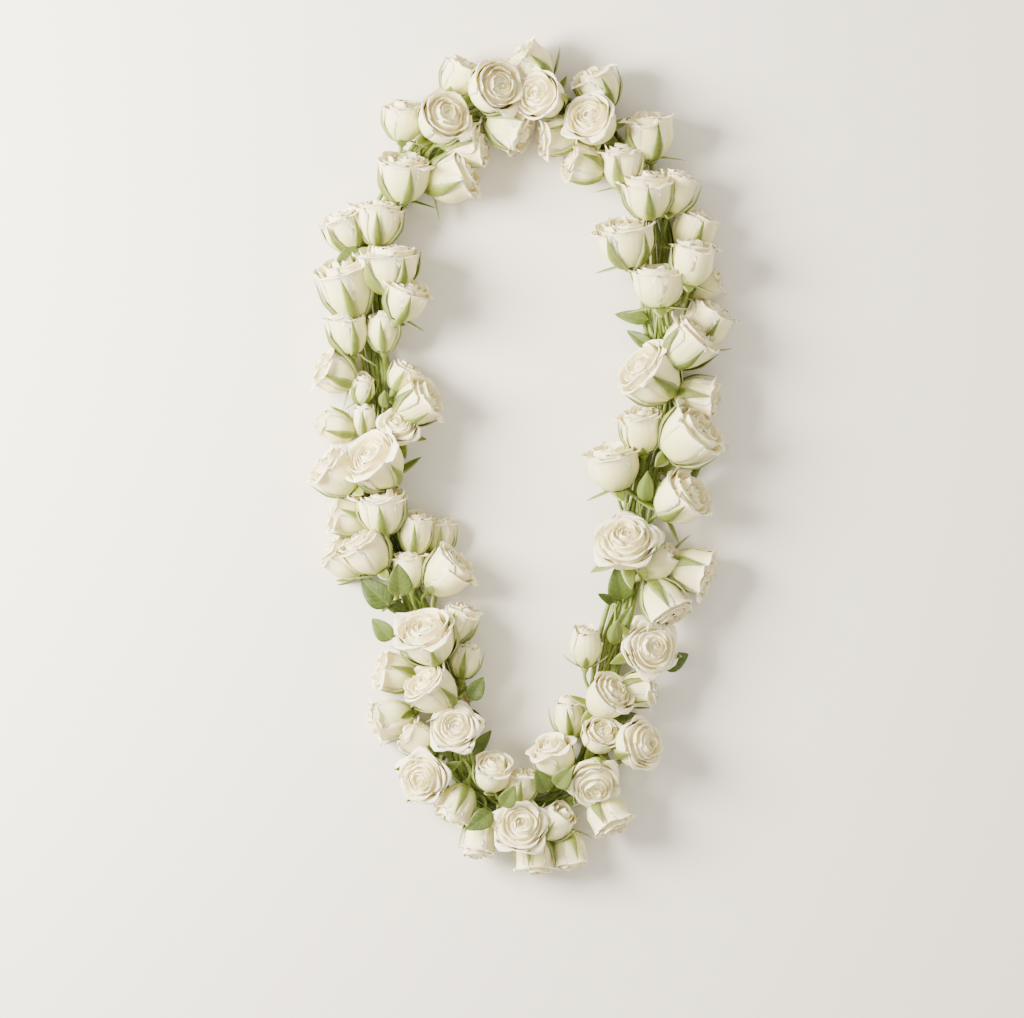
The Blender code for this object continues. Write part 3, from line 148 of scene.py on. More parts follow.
class Draw(IntEnum):
    """What a row of random draws is for; its value keeps the rows apart."""

    BLOOM = 0
    SEPAL = 500
    LEAF = 600
    GREEN_BUD = 610
    GREENS = 700
    SPRIGS = 800
    BOUND_STEMS = 900

    def rng(self, number: int = 0) -> np.random.Generator:
        """The same draws on every run."""
        return np.random.default_rng((SEED, self.value + number))


CUP, ROSETTE, BUD, SMALL = Kind.CUP, Kind.ROSETTE, Kind.BUD, Kind.SMALL
LOW, MIDDLE, FRONT = Layer.LOW, Layer.MIDDLE, Layer.FRONT

# Rose heads: centre, width and height in photograph pixels, the direction of the mouth in
# the plane of the loop, its tilt up from that plane in degrees, the kind and the layer
HEADS = (
    (400, 187, 50, 46, 85, 10, CUP, MIDDLE),
    (391, 221, 45, 42, 88, 5, CUP, FRONT),
    (348, 231, 40, 40, 110, 5, SMALL, LOW),
    (388, 262, 56, 46, 92, 5, CUP, FRONT),
    (347, 294, 50, 58, 105, 10, CUP, LOW),
    (397, 301, 42, 38, 70, 10, CUP, FRONT),
    (381, 337, 34, 40, 93, 5, BUD, FRONT),
    (350, 353, 40, 42, 100, 0, SMALL, LOW),
    (338, 389, 42, 40, 150, 5, SMALL, LOW),
    (367, 389, 26, 30, 80, 10, BUD, FRONT),
    (400, 377, 28, 30, 60, 0, SMALL, LOW),
    (412, 400, 42, 42, 30, 10, CUP, MIDDLE),
    (340, 426, 34, 38, 160, 0, BUD, LOW),
    (369, 420, 26, 32, 90, 0, BUD, MIDDLE),
    (392, 433, 38, 34, 100, 50, ROSETTE, FRONT),
    (379, 467, 54, 46, 130, 30, CUP, FRONT),
    (338, 474, 44, 44, 140, 5, SMALL, LOW),
    (382, 503, 47, 44, 95, 10, CUP, FRONT),
    (350, 515, 36, 40, 160, 0, SMALL, LOW),
    (374, 546, 44, 44, 125, 10, CUP, FRONT),
    (410, 538, 34, 42, 85, 5, SMALL, MIDDLE),
    (436, 537, 30, 38, 88, 0, SMALL, LOW),
    (345, 560, 38, 42, 140, 0, SMALL, LOW),
    (407, 579, 32, 36, 95, 0, SMALL, LOW),
    (443, 577, 44, 44, 45, 10, CUP, MIDDLE),
    (432, 642, 52, 46, 110, 30, CUP, FRONT),
    (455, 628, 36, 38, 70, 0, SMALL, LOW),
    (463, 665, 30, 36, 80, 0, BUD, LOW),
    (396, 674, 40, 42, 165, 5, SMALL, LOW),
    (437, 693, 46, 44, 135, 20, CUP, FRONT),
    (393, 721, 38, 42, 195, 0, SMALL, LOW),
    (455, 733, 44, 36, 90, 62, ROSETTE, FRONT),
    (418, 738, 34, 38, 150, 0, SMALL, LOW),
    (427, 770, 46, 40, 200, 60, ROSETTE, MIDDLE),
    (459, 803, 36, 40, 245, 5, SMALL, LOW),
    (492, 776, 36, 36, 80, 30, SMALL, MIDDLE),
    (480, 837, 34, 44, 260, 0, SMALL, LOW),
    (521, 791, 34, 36, 80, 0, SMALL, LOW),
    (522, 829, 48, 38, 90, 62, ROSETTE, FRONT),
    (536, 856, 38, 40, 270, 0, SMALL, LOW),
    (555, 760, 40, 40, 110, 20, SMALL, MIDDLE),
    (562, 811, 36, 38, 50, 20, BUD, FRONT),
    (575, 835, 34, 38, 280, 0, SMALL, LOW),
    (593, 777, 46, 38, 280, 50, ROSETTE, FRONT),
    (604, 811, 40, 40, 300, 10, SMALL, LOW),
    (634, 744, 46, 44, 10, 35, ROSETTE, LOW),
    (599, 740, 34, 34, 60, 45, SMALL, FRONT),
    (571, 719, 32, 42, 95, 5, BUD, LOW),
    (604, 701, 42, 40, 45, 30, CUP, FRONT),
    (639, 690, 34, 38, 5, 0, SMALL, LOW),
    (645, 649, 50, 40, 20, 60, ROSETTE, MIDDLE),
    (589, 648, 32, 40, 88, 5, BUD, MIDDLE),
    (659, 599, 42, 44, 300, 10, CUP, MIDDLE),
    (686, 560, 44, 46, 345, 5, CUP, LOW),
    (652, 553, 34, 42, 40, 10, BUD, MIDDLE),
    (622, 538, 56, 42, 95, 45, ROSETTE, FRONT),
    (674, 501, 50, 46, 35, 20, CUP, MIDDLE),
    (619, 467, 50, 44, 100, 5, CUP, MIDDLE),
    (638, 439, 42, 44, 95, 10, SMALL, LOW),
    (684, 441, 56, 50, 40, 15, CUP, FRONT),
    (693, 400, 40, 44, 350, 0, SMALL, LOW),
    (633, 374, 56, 48, 140, 15, CUP, FRONT),
    (685, 347, 48, 46, 45, 10, CUP, FRONT),
    (699, 324, 46, 44, 60, 0, SMALL, LOW),
    (655, 286, 48, 40, 92, 5, CUP, FRONT),
    (692, 263, 42, 44, 80, 0, SMALL, LOW),
    (701, 297, 34, 38, 30, 0, SMALL, LOW),
    (640, 247, 54, 46, 100, 10, CUP, FRONT),
    (687, 236, 42, 42, 70, 0, SMALL, LOW),
    (642, 211, 48, 46, 95, 10, CUP, FRONT),
    (670, 200, 42, 42, 75, 0, SMALL, LOW),
    (631, 183, 42, 44, 90, 5, CUP, LOW),
)

# Behind the neck the heads follow a rule: lateral offset in pixels, splay and tilt in degrees
NECK_HEADS = 14
NECK_START = (404, 160)
NECK_END = (634, 160)
NECK_PATTERN = ((30.0, 34.0, 5.0, LOW), (-26.0, -30.0, 5.0, LOW), (2.0, 6.0, 50.0, FRONT))
NECK_WIDTHS = (40.0, 50.0)
NECK_HEIGHT_SHARE = 0.95

# Leaves and closed green buds: base in photograph pixels, direction in the plane, rise in
# degrees and length in pixels
LEAVES = (
    (389, 606, 138, 14, 38), (401, 596, 92, 40, 36), (391, 640, 132, 12, 28), (447, 556, 82, 16, 36),
    (548, 792, 120, 45, 30), (556, 786, 50, 40, 28), (492, 812, 215, 20, 30), (503, 806, 60, 35, 26),
    (620, 690, 110, 35, 30), (664, 668, 30, 14, 28), (676, 296, 70, 30, 34), (668, 392, 60, 24, 36),
    (624, 602, 100, 40, 40), (664, 474, 40, 30, 28), (470, 700, 60, 14, 26), (360, 250, 215, 10, 30),
)
GREEN_BUDS = (
    (366, 456, 95, 55, 26), (384, 404, 80, 60, 26), (645, 498, 85, 45, 38), (682, 486, 45, 20, 30),
    (614, 640, 80, 50, 34),
)
PERCH_HEIGHTS = (24.0, 30.0, 18.0, 35.0, 13.0, 9.0)


def plane_point(x: float, y: float) -> Vector:
    """World X and Y of a point of the photograph.

    Args:
        x: Pixels from the photograph's left edge.
        y: Pixels from its top edge.

    Returns:
        The point, at height 0.
    """
    return Vector(((x - PHOTO_CENTRE[0]) * PIXEL, (PHOTO_CENTRE[1] - y) * PIXEL, 0.0))


def up(height: float) -> Vector:
    """A vector of a given length along Z."""
    return Vector((0.0, 0.0, height))


def linear(colour: str) -> tuple[float, float, float, float]:
    """Turns an sRGB hex colour into linear values.

    Args:
        colour: Six hex digits after a hash.

    Returns:
        Red, green, blue and an alpha of 1.
    """
    shares = [int(colour[i:i + 2], 16) / 255.0 for i in (1, 3, 5)]
    return (*(c / 12.92 if c <= 0.04045 else ((c + 0.055) / 1.055) ** 2.4 for c in shares), 1.0)


def spline(a: np.ndarray, b: np.ndarray, c: np.ndarray, d: np.ndarray, t: np.ndarray) -> np.ndarray:
    """Catmull-Rom curve from b to c, with a before them and d after.

    Args:
        a: The value before.
        b: The value at the start.
        c: The value at the end.
        d: The value after.
        t: Shares of the way.

    Returns:
        The curve's values.
    """
    return 0.5 * (2 * b + (c - a) * t + (2 * a - 5 * b + 4 * c - d) * t ** 2
                  + (3 * b - a - 3 * c + d) * t ** 3)


def smooth_through(knots: np.ndarray, place: np.ndarray) -> np.ndarray:
    """Smooth curve through values one unit apart.

    Args:
        knots: The values.
        place: Where to read the curve, from 0 to the last knot's number.

    Returns:
        The curve's values.
    """
    padded = np.concatenate(([2 * knots[0] - knots[1]], knots, [2 * knots[-1] - knots[-2]]))
    i = np.minimum(place.astype(int), len(knots) - 2)
    return spline(*(padded[i + k] for k in range(4)), place - i)


def blade_grid(rows: int, columns: int) -> tuple[np.ndarray, np.ndarray]:
    """Shares from 0 to 1 down the rows and from -1 to 1 across the columns."""
    return np.linspace(0.0, 1.0, rows)[:, None], np.linspace(-1.0, 1.0, columns)[None, :]


def ring_grid(rows: int, columns: int) -> tuple[np.ndarray, np.ndarray]:
    """Shares from 0 to 1 down the rows and angles once round the columns."""
    return np.linspace(0.0, 1.0, rows)[:, None], np.linspace(0.0, math.tau, columns, endpoint=False)[None, :]


def grid_points(x: np.ndarray, y: np.ndarray, z: np.ndarray) -> np.ndarray:
    """Points by row and column, from coordinates that may be the same along either."""
    return np.stack(np.broadcast_arrays(x, y, z), axis=2)


def shown_by(node: Node) -> NodeSocket:
    """The first output that a node shows."""
    return next(socket for socket in node.outputs if socket.enabled)


def add_node(tree: NodeTree, kind: str, inputs: dict | None = None, **settings: object) -> Node:
    """Adds a node with its settings, values and links.

    Args:
        tree: The tree that takes the node.
        kind: The node's type name.
        inputs: By input name or index, a value, an output to link, or a node whose first output
            is linked.
        **settings: The node's own properties by name.

    Returns:
        The new node.
    """
    node = tree.nodes.new(kind)
    for name, value in settings.items():
        setattr(node, name, value)
    for key, value in (inputs or {}).items():
        if isinstance(value, (Node, NodeSocket)):
            source = shown_by(value) if isinstance(value, Node) else value
            tree.links.new(source, node.inputs[key])
        else:
            node.inputs[key].default_value = value
    return node


def add_object(name: str, data: ID) -> Object:
    """Adds an object to the scene.

    Args:
        name: The object's name.
        data: Its mesh, light or camera.

    Returns:
        The object.
    """
    item = bpy.data.objects.new(name, data)
    bpy.context.scene.collection.objects.link(item)
    return item


def new_material(name: str) -> tuple[Material, NodeTree]:
    """Makes a material with its main shader and nothing else.

    Args:
        name: The material's name.

    Returns:
        The material and its tree.
    """
    material = bpy.data.materials.new(name)
    material.use_nodes = True
    return material, material.node_tree


def dress_shader(tree: NodeTree, colour: Node, height: Node, relief: tuple[float, float],
                 **values: object) -> None:
    """Gives a material's shader its colour, its relief and its plain values.

    Args:
        tree: The material's tree.
        colour: The base colour.
        height: The pattern that stands out.
        relief: How strongly it shows and how deep it is.
        **values: The shader's other inputs by name, with underscores for spaces.
    """
    bump = add_node(tree, "ShaderNodeBump", {"Height": height, "Strength": relief[0], "Distance": relief[1]})
    shader = tree.nodes["Principled BSDF"]
    tree.links.new(shown_by(colour), shader.inputs["Base Color"])
    tree.links.new(bump.outputs["Normal"], shader.inputs["Normal"])
    for key, value in values.items():
        shader.inputs[key.replace("_", " ")].default_value = value


class Route:
    """The closed middle line of the bundle, as evenly spaced points."""

    SAMPLES = 720
    SPAN_STEPS = 24

    def __init__(self, pixels: tuple) -> None:
        """Lays a smooth closed curve through the given pixels.

        Args:
            pixels: Points of the photograph, in order round the loop.
        """
        corners = np.array([plane_point(*pixel)[:2] for pixel in pixels])
        fine = self._smooth(corners)
        steps = np.linalg.norm(np.roll(fine, -1, axis=0) - fine, axis=1)
        along = np.concatenate(([0.0], np.cumsum(steps)))
        self.length = along[-1]
        closed = np.vstack((fine, fine[:1]))
        stations = np.arange(self.SAMPLES) * self.length / self.SAMPLES
        self.points = np.column_stack([np.interp(stations, along, closed[:, k]) for k in (0, 1)])

    def _smooth(self, corners: np.ndarray) -> np.ndarray:
        """Runs a closed Catmull-Rom curve through the corners.

        Args:
            corners: One row of X and Y for each corner.

        Returns:
            Points of the curve, as many for each span.
        """
        t = np.arange(self.SPAN_STEPS)[:, None] / self.SPAN_STEPS
        return np.vstack([spline(*(corners[(i + k) % len(corners)] for k in (-1, 0, 1, 2)), t)
                          for i in range(len(corners))])

    def at(self, s: float) -> tuple[Vector, Vector]:
        """Gives the place and direction of the line.

        Args:
            s: Distance along the loop.

        Returns:
            The point and the unit tangent there.
        """
        place = (s / self.length) % 1.0 * self.SAMPLES
        i = int(place)
        here = self.points[i % self.SAMPLES]
        after = self.points[(i + 1) % self.SAMPLES]
        # From two points behind to three ahead, so that it turns smoothly
        tangent = Vector((*(self.points[(i + 3) % self.SAMPLES] - self.points[i - 2]), 0.0))
        return Vector((*(here + (after - here) * (place - i)), 0.0)), tangent.normalized()

    def nearest(self, point: Vector) -> tuple[float, float]:
        """Finds the place on the line nearest to a point.

        Args:
            point: A world point.

        Returns:
            The distance along the loop and the lateral offset, left positive.
        """
        gaps = np.hypot(self.points[:, 0] - point[0], self.points[:, 1] - point[1])
        s = int(np.argmin(gaps)) * self.length / self.SAMPLES
        centre, tangent = self.at(s)
        side = Vector((-tangent.y, tangent.x, 0.0))
        return s, side.dot(Vector((point[0], point[1], 0.0)) - centre)

    def offset(self, s: float, lateral: float, height: float) -> Vector:
        """World point at a lateral offset and a height over the loop."""
        centre, tangent = self.at(s)
        return centre + Vector((-tangent.y, tangent.x, 0.0)) * lateral + up(height)


@dataclass
class Head:
    """A rose head of the layout: its size, axis and, once it is seated, its base."""

    index: int
    kind: Kind
    layer: Layer
    radius: float
    height: float
    axis: Vector
    home: Vector
    base: Vector | None = None
    node: str = ""
    stem: list[Vector] = field(default_factory=list)
    bunch: int = 0
    sepals: dict[int, int] = field(default_factory=dict)

    @classmethod
    def from_row(cls, index: int, row: tuple) -> "Head":
        """Reads a head from a row of the layout.

        Args:
            index: The head's place in the layout.
            row: Centre, width, height, mouth, tilt, kind and layer.

        Returns:
            The head, not yet seated.
        """
        x, y, width, height, mouth, tilt, kind, layer = row
        turn = math.radians(mouth)
        lean = math.radians(tilt + layer.value)
        axis = Vector((math.cos(turn) * math.cos(lean), math.sin(turn) * math.cos(lean), math.sin(lean)))
        return cls(index, kind, layer, 0.5 * HEAD_FULLNESS * width * PIXEL, height * PIXEL, axis,
                   plane_point(x, y) - axis * (0.5 * height * PIXEL))

    def lie_back(self, angle: float) -> None:
        """Lowers the mouth about the base by an angle, and the upper end of the stem with it.

        Args:
            angle: The angle in radians.
        """
        lean = math.asin(self.axis.z) - angle
        level = Vector((self.axis.x, self.axis.y, 0.0)).normalized()
        axis = level * math.cos(lean) + up(math.sin(lean))
        # The stem's bend and its neck
        for place in (2, 3):
            reach = (self.base - self.stem[place]).length
            self.stem[place] = self.base - axis * reach
        self.axis = axis

    def scale(self) -> tuple[float, float]:
        """The head's width and height, as multiples of the model's."""
        return self.radius / MODEL_RADIUS, self.height / MODEL_HEIGHT

    def turn(self) -> Matrix:
        """Finds how the head is turned.

        Returns:
            The rotation from its own frame, mouth at +Z, to the world.
        """
        side = up(1.0).cross(self.axis)
        if side.length < 0.2:
            side = Vector((1.0, 0.0, 0.0))
        side = (side - self.axis * side.dot(self.axis)).normalized()
        return Matrix((side, self.axis.cross(side), self.axis)).transposed()

    def ring(self, drop: float, radius: float) -> list[Vector]:
        """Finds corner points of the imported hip.

        Args:
            drop: How far below the base they lie.
            radius: Their distance from the axis.

        Returns:
            The corners, relative to the base.
        """
        turn = self.turn()
        side = turn @ Vector((1.0, 0.0, 0.0))
        across = self.axis.cross(side)
        return [side * (math.cos(a) * radius) + across * (math.sin(a) * radius) - self.axis * drop
                for a in CORNER_TURNS]


class Seats:
    """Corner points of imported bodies, by which pieces find their places."""

    TOLERANCE = 0.06 * MM
    SEARCH = 42.0 * MM
    MIDDLE_HEIGHT = 20.0 * MM
    DRIFT = 17.0 * MM
    ANCHORS = 6
    TOO_FEW = 4

    def __init__(self, nodes: list[Object]) -> None:
        """Gathers the points of the given nodes in one search tree.

        Args:
            nodes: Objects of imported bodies.
        """
        points = [(vertex.co.copy(), place) for place, node in enumerate(nodes)
                  for vertex in node.data.vertices]
        self.nodes = nodes
        self.owners = [place for _, place in points]
        self.tree = KDTree(len(points))
        for i, (point, _) in enumerate(points):
            self.tree.insert(point, i)
        self.tree.balance()

    def has(self, point: Vector) -> bool:
        """Whether a packed corner lies on a point."""
        return self.tree.find(point)[2] < self.TOLERANCE

    def owner(self, point: Vector) -> int:
        """Place in the list of the node whose corner is nearest to a point."""
        return self.owners[self.tree.find(point)[1]]

    def find_base(self, head: Head) -> Vector | None:
        """Finds a head's base by the eight corners of its hip.

        Args:
            head: A head of the layout.

        Returns:
            The base, or None where too few corners show.
        """
        corners = head.ring(CLEARANCE, HIP_RADIUS) + head.ring(CLEARANCE + HIP_LENGTH, NECK_RADIUS)
        best = (self.TOO_FEW, None)
        for anchor in corners[:self.ANCHORS]:
            middle = head.home + anchor + up(self.MIDDLE_HEIGHT - head.home.z - anchor.z)
            for point, _, _ in self.tree.find_range(middle, self.SEARCH):
                base = point - anchor
                if (base.xy - head.home.xy).length > self.DRIFT:
                    continue
                hits = sum(self.has(base + corner) for corner in corners)
                if hits > best[0]:
                    best = (hits, base)
            if best[0] == len(corners):
                break
        return best[1]


class Layout:
    """All heads, stems and leaves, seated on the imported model."""

    SEPAL_POSES = ((0.97, 0.28, 1.06, 0.66), (0.92, 0.12, 1.34, 0.34), (0.72, -0.02, 1.25, -0.10),
                   (0.62, -0.16, 0.98, -0.42))
    POLE = {CUP: 0.86, BUD: 0.80, ROSETTE: 0.82, SMALL: 0.84}
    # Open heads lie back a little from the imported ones, in degrees, as the photograph shows them
    LIE_BACK = {LOW: 3.0, MIDDLE: 9.0, FRONT: 13.0}
    SPARE_HEIGHT = 18.0 * MM
    # Radius of a stem's middle ring, and how many of its corners have to show
    RING_RADIUS = 0.9 * NECK_RADIUS
    RING_CORNERS = 2

    def __init__(self) -> None:
        """Reads the rows and seats each head, its stem and its sepals."""
        self.route = Route(ROUTE)
        self.bunch_length = self.route.length / BUNCHES
        nodes = frame["nodes"]
        self.spray_nodes = sorted(name for name in nodes if name.startswith("rose_spray"))
        self.greens = Seats([nodes[name] for name in sorted(nodes) if name.startswith("stem_bunch")])
        self.sprays = Seats([nodes[name] for name in self.spray_nodes])
        rows = list(HEADS) + self.neck_rows()
        self.heads = [Head.from_row(index, row) for index, row in enumerate(rows)]
        for head in self.heads:
            self.seat_head(head)
            self.seat_stem(head)
            self.seat_sepals(head)
            head.lie_back(math.radians(self.LIE_BACK[head.layer]))

    def neck_rows(self) -> list[tuple]:
        """Lays out the heads over the arc behind the neck, mouths towards its top.

        Returns:
            One row for each head, as in the table of heads.
        """
        rng = np.random.default_rng(SEED)
        start, _ = self.route.nearest(plane_point(*NECK_END))
        finish, _ = self.route.nearest(plane_point(*NECK_START))
        span = (finish - start) % self.route.length
        rows = []
        for i in range(NECK_HEADS):
            share = (i + 0.5) / NECK_HEADS
            lateral, splay, tilt, layer = NECK_PATTERN[i % len(NECK_PATTERN)]
            centre, tangent = self.route.at(start + share * span)
            point = centre + Vector((tangent.y, -tangent.x, 0.0)) * lateral * PIXEL
            forward = 1.0 if share < 0.5 else -1.0
            mouth = math.degrees(math.atan2(tangent.y * forward, tangent.x * forward))
            width = rng.uniform(*NECK_WIDTHS)
            kind = CUP if layer == FRONT else SMALL
            rows.append((PHOTO_CENTRE[0] + point.x / PIXEL, PHOTO_CENTRE[1] - point.y / PIXEL, width,
                         NECK_HEIGHT_SHARE * width, mouth - splay * forward, tilt, kind, layer))
        return rows

    def seat_head(self, head: Head) -> None:
        """Gives a head its base and the spray node that it belongs to.

        Args:
            head: A head of the layout.
        """
        head.base = self.greens.find_base(head)
        if head.base is None:
            LOG.warning("head %d has no seat, so it takes a plain height", head.index)
            head.base = Vector((*head.home.xy, self.SPARE_HEIGHT))
        pole = head.base + head.axis * (self.POLE[head.kind] * head.height)
        head.node = self.spray_nodes[self.sprays.owner(pole)]

    def root_place(self, s: float, lateral: float) -> tuple[int, float, float]:
        """Finds where a stem sinks into the bundle.

        Args:
            s: Distance along the loop.
            lateral: Lateral place.

        Returns:
            The nearest bunch, and both places kept inside it.
        """
        place = s % self.route.length
        bunch = int(place / self.bunch_length)
        start = bunch * self.bunch_length
        place = max(start + ROOT_MARGIN, min(start + self.bunch_length - ROOT_MARGIN, place))
        limit = BUNDLE_HALF_WIDTH - ROOT_INSET
        return bunch, place, max(-limit, min(limit, lateral))

    def root_choices(self, head: Head) -> Iterator[tuple[int, float, float, tuple]]:
        """Possible roots of a head's stem, in the order in which they were tried.

        Args:
            head: A seated head.

        Yields:
            The bunch, the place along the loop, the lateral place and the sway.
        """
        s, lateral = self.route.nearest(head.base - head.axis * HIP_LENGTH)
        _, tangent = self.route.at(s)
        forward = -1.0 if head.axis.dot(tangent) > 0.0 else 1.0
        for shift in ROOT_SHIFTS:
            bunch, place, lateral = self.root_place(s + forward * shift * MM, lateral)
            for landing in (lateral, 0.0, -lateral):
                for sway in ROOT_SWAYS:
                    yield bunch, place, landing, sway

    def seat_stem(self, head: Head) -> None:
        """Finds the way of a head's stem by the corners of its middle ring.

        Args:
            head: A seated head.
        """
        neck = head.base - head.axis * (CLEARANCE + HIP_LENGTH)
        spare = None
        for bunch, place, landing, sway in self.root_choices(head):
            root = self.route.offset(place, landing, BUNDLE_MIDDLE)
            reach = (neck - root).length
            bend = neck - head.axis * min(STEM_BEND, STEM_BEND_SHARE * reach)
            middle = 0.25 * neck + 0.5 * bend + 0.25 * root
            middle += (self.route.offset(place, sway[0] * MM, sway[1] * MM)
                       - self.route.offset(place, 0.0, 0.0))
            found = reach < SHORT_STEM or self.middle_shows(head, middle, (neck - root).normalized())
            if spare is None or found:
                spare = (bunch, [root, middle, bend, neck])
            if found:
                break
        head.bunch, head.stem = spare

    def middle_shows(self, head: Head, middle: Vector, direction: Vector) -> bool:
        """Looks for the corners of a stem's middle ring.

        Args:
            head: The head that the stem carries.
            middle: The middle of the stem.
            direction: The stem's direction there.

        Returns:
            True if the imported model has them.
        """
        side = head.axis.rotation_difference(direction) @ (head.turn() @ Vector((1.0, 0.0, 0.0)))
        across = direction.cross(side)
        corners = [middle + (side * math.cos(a) + across * math.sin(a)) * self.RING_RADIUS
                   for a in CORNER_TURNS]
        return sum(self.greens.has(corner) for corner in corners) >= self.RING_CORNERS

    def seat_sepals(self, head: Head) -> None:
        """Finds which sepals a packed hip has, and how they stand, by their tips.

        Args:
            head: A seated head.
        """
        turn = head.turn()
        for column in range(STEM_COLUMNS):
            angle = math.tau * (column + 1.0) / STEM_COLUMNS
            outward = Vector((math.cos(angle), math.sin(angle), 0.0))
            for pose, (_, _, tip, tip_height) in enumerate(self.SEPAL_POSES):
                local = outward * (tip * head.radius + SEPAL_STANDOFF)
                local.z = tip_height * head.height
                if self.greens.has(head.base + turn @ local):
                    head.sepals[column] = pose
                    break

    def clears_heads(self, points: list[Vector], gap: float) -> bool:
        """Whether points keep off every head, taken as a barrel round its axis.

        Args:
            points: World points.
            gap: The least distance from a barrel.

        Returns:
            True if all points are far enough off.
        """
        for head in self.heads:
            for point in points:
                reach = max(0.0, min(head.height, (point - head.base).dot(head.axis)))
                if (point - head.base - head.axis * reach).length < head.radius + gap:
                    return False
        return True

    def perch(self, row: tuple) -> tuple[Matrix, Vector, int] | None:
        """Finds the height at which a leaf or green bud was set, by its tip.

        Args:
            row: Base pixel, heading, rise and length.

        Returns:
            The blade's frame, its root in the bundle and its bunch, or None if it was left out.
        """
        x, y, heading, rise, length = row
        turn = Matrix.Rotation(math.radians(heading), 4, "Z") @ Matrix.Rotation(-math.radians(rise), 4, "Y")
        bunch, place, lateral = self.root_place(*self.route.nearest(plane_point(x, y)))
        root = self.route.offset(place, lateral, BUNDLE_MIDDLE)
        for height in PERCH_HEIGHTS:
            placed = Matrix.Translation(plane_point(x, y) + up(height * MM)) @ turn
            for droop in (LeafBlade.DROOP, 0.0):
                tip = placed @ (Vector((1.0, 0.0, -droop)) * length * PIXEL)
                if self.greens.has(tip):
                    return placed, root, bunch
        return None


@dataclass(frozen=True)
class PetalFinish:
    """White spray-rose petal, thin living tissue grown in whorls.

    It looks matt and silky, with fine lengthwise veins, a soft glow where light passes, warmer
    depths and a green claw.
    """

    # The lip is whiter than the blade: a painted edge highlight and glow of light through the thin rim
    lip: str = "#FBF4D4"
    blade: str = "#F8EDB8"
    heart: str = "#FBEEAC"
    claw: str = "#CCD67E"
    # Where the green claw starts to fade and ends, and where the whiter lip, a painted edge highlight, starts
    claw_reach: tuple = (0.05, 0.62)
    lip_highlight_start: float = 0.62
    # How far a petal's own tint and its veins dim or lift the colour
    tint_range: tuple = (0.93, 1.03)
    streak_range: tuple = (0.91, 1.03)
    streak_contrast: tuple = (0.3, 0.7)
    relief: tuple = (0.65, 0.5 * MM)
    roughness: float = 0.52
    half_width_mm: float = 10.0
    vein_pitch_mm: float = 0.5
    vein_scale: float = 0.4
    # How far the veins' pattern changes along a petal and from one petal to the next
    vein_wander: tuple = (1.6, 60.0)

    def build(self) -> Material:
        """Makes the petal material, green at the claw and white at the lip, whose white is a painted edge
        highlight.

        Returns:
            The material.
        """
        material, tree = new_material("spray_rose_petal")
        along, whorl, tint, across = (
            add_node(tree, "ShaderNodeAttribute", attribute_name=name).outputs["Fac"]
            for name in ("along", "whorl", "tint", "across"))
        veins = self.add_veins(tree, along, across, tint)
        shade, streak = (
            add_node(tree, "ShaderNodeMapRange",
                     {"Value": value, "From Min": low, "From Max": high, "To Min": least, "To Max": most})
            for value, (low, high), (least, most) in ((tint, (0.0, 1.0), self.tint_range),
                                                      (veins, self.streak_contrast, self.streak_range)))
        lit = add_node(tree, "ShaderNodeMath", {0: shade, 1: streak}, operation="MULTIPLY")
        toned = add_node(tree, "ShaderNodeHueSaturation",
                         {"Value": lit, "Color": self.add_colour(tree, along, whorl)})
        dress_shader(tree, toned, veins, self.relief, Roughness=self.roughness, IOR=1.40,
                     Specular_IOR_Level=0.35, Subsurface_Weight=0.45, Subsurface_Radius=(1.0, 0.9, 0.6),
                     Subsurface_Scale=0.28 * MM)
        return material

    def add_colour(self, tree: NodeTree, along: NodeSocket, whorl: NodeSocket) -> Node:
        """Runs a petal's colour from its green claw to its white lip, whose white is a painted edge
        highlight.

        Args:
            tree: The material's tree.
            along: Shares of the way from claw to lip.
            whorl: 1 on the outermost petals down to 0 on the innermost.

        Returns:
            The colour.
        """
        warm = add_node(tree, "ShaderNodeMix", {0: whorl, 6: linear(self.heart), 7: linear(self.blade)},
                        data_type="RGBA")
        ramp = add_node(tree, "ShaderNodeValToRGB", {"Fac": along})
        for stop, place, shade in zip(ramp.color_ramp.elements, self.claw_reach, (1.0, 0.0)):
            stop.position = place
            stop.color = (shade, shade, shade, 1.0)
        green = add_node(tree, "ShaderNodeMix", {0: ramp, 6: warm, 7: linear(self.claw)}, data_type="RGBA")
        # Towards the lip the colour whitens: a painted edge highlight and glow of light through the thin rim
        edge = add_node(tree, "ShaderNodeMapRange",
                        {"Value": along, "From Min": self.lip_highlight_start, "From Max": 1.0})
        return add_node(tree, "ShaderNodeMix", {0: edge, 6: green, 7: linear(self.lip)}, data_type="RGBA")

    def add_veins(self, tree: NodeTree, along: NodeSocket, across: NodeSocket, tint: NodeSocket) -> Node:
        """Draws the veins, which run lengthwise.

        Args:
            tree: The material's tree.
            along: Shares of the way from claw to lip.
            across: -1 to 1 from side to side.
            tint: A share that is the petal's own.

        Returns:
            The pattern.
        """
        lane, reach, own = (
            add_node(tree, "ShaderNodeMath", {0: way, 1: scale}, operation="MULTIPLY")
            for way, scale in zip((across, along, tint),
                                  (self.half_width_mm / self.vein_pitch_mm, *self.vein_wander)))
        place = add_node(tree, "ShaderNodeCombineXYZ", {0: lane, 1: reach, 2: own})
        return add_node(tree, "ShaderNodeTexNoise",
                        {"Vector": place, "Scale": self.vein_scale, "Detail": 4.0, "Roughness": 0.6})


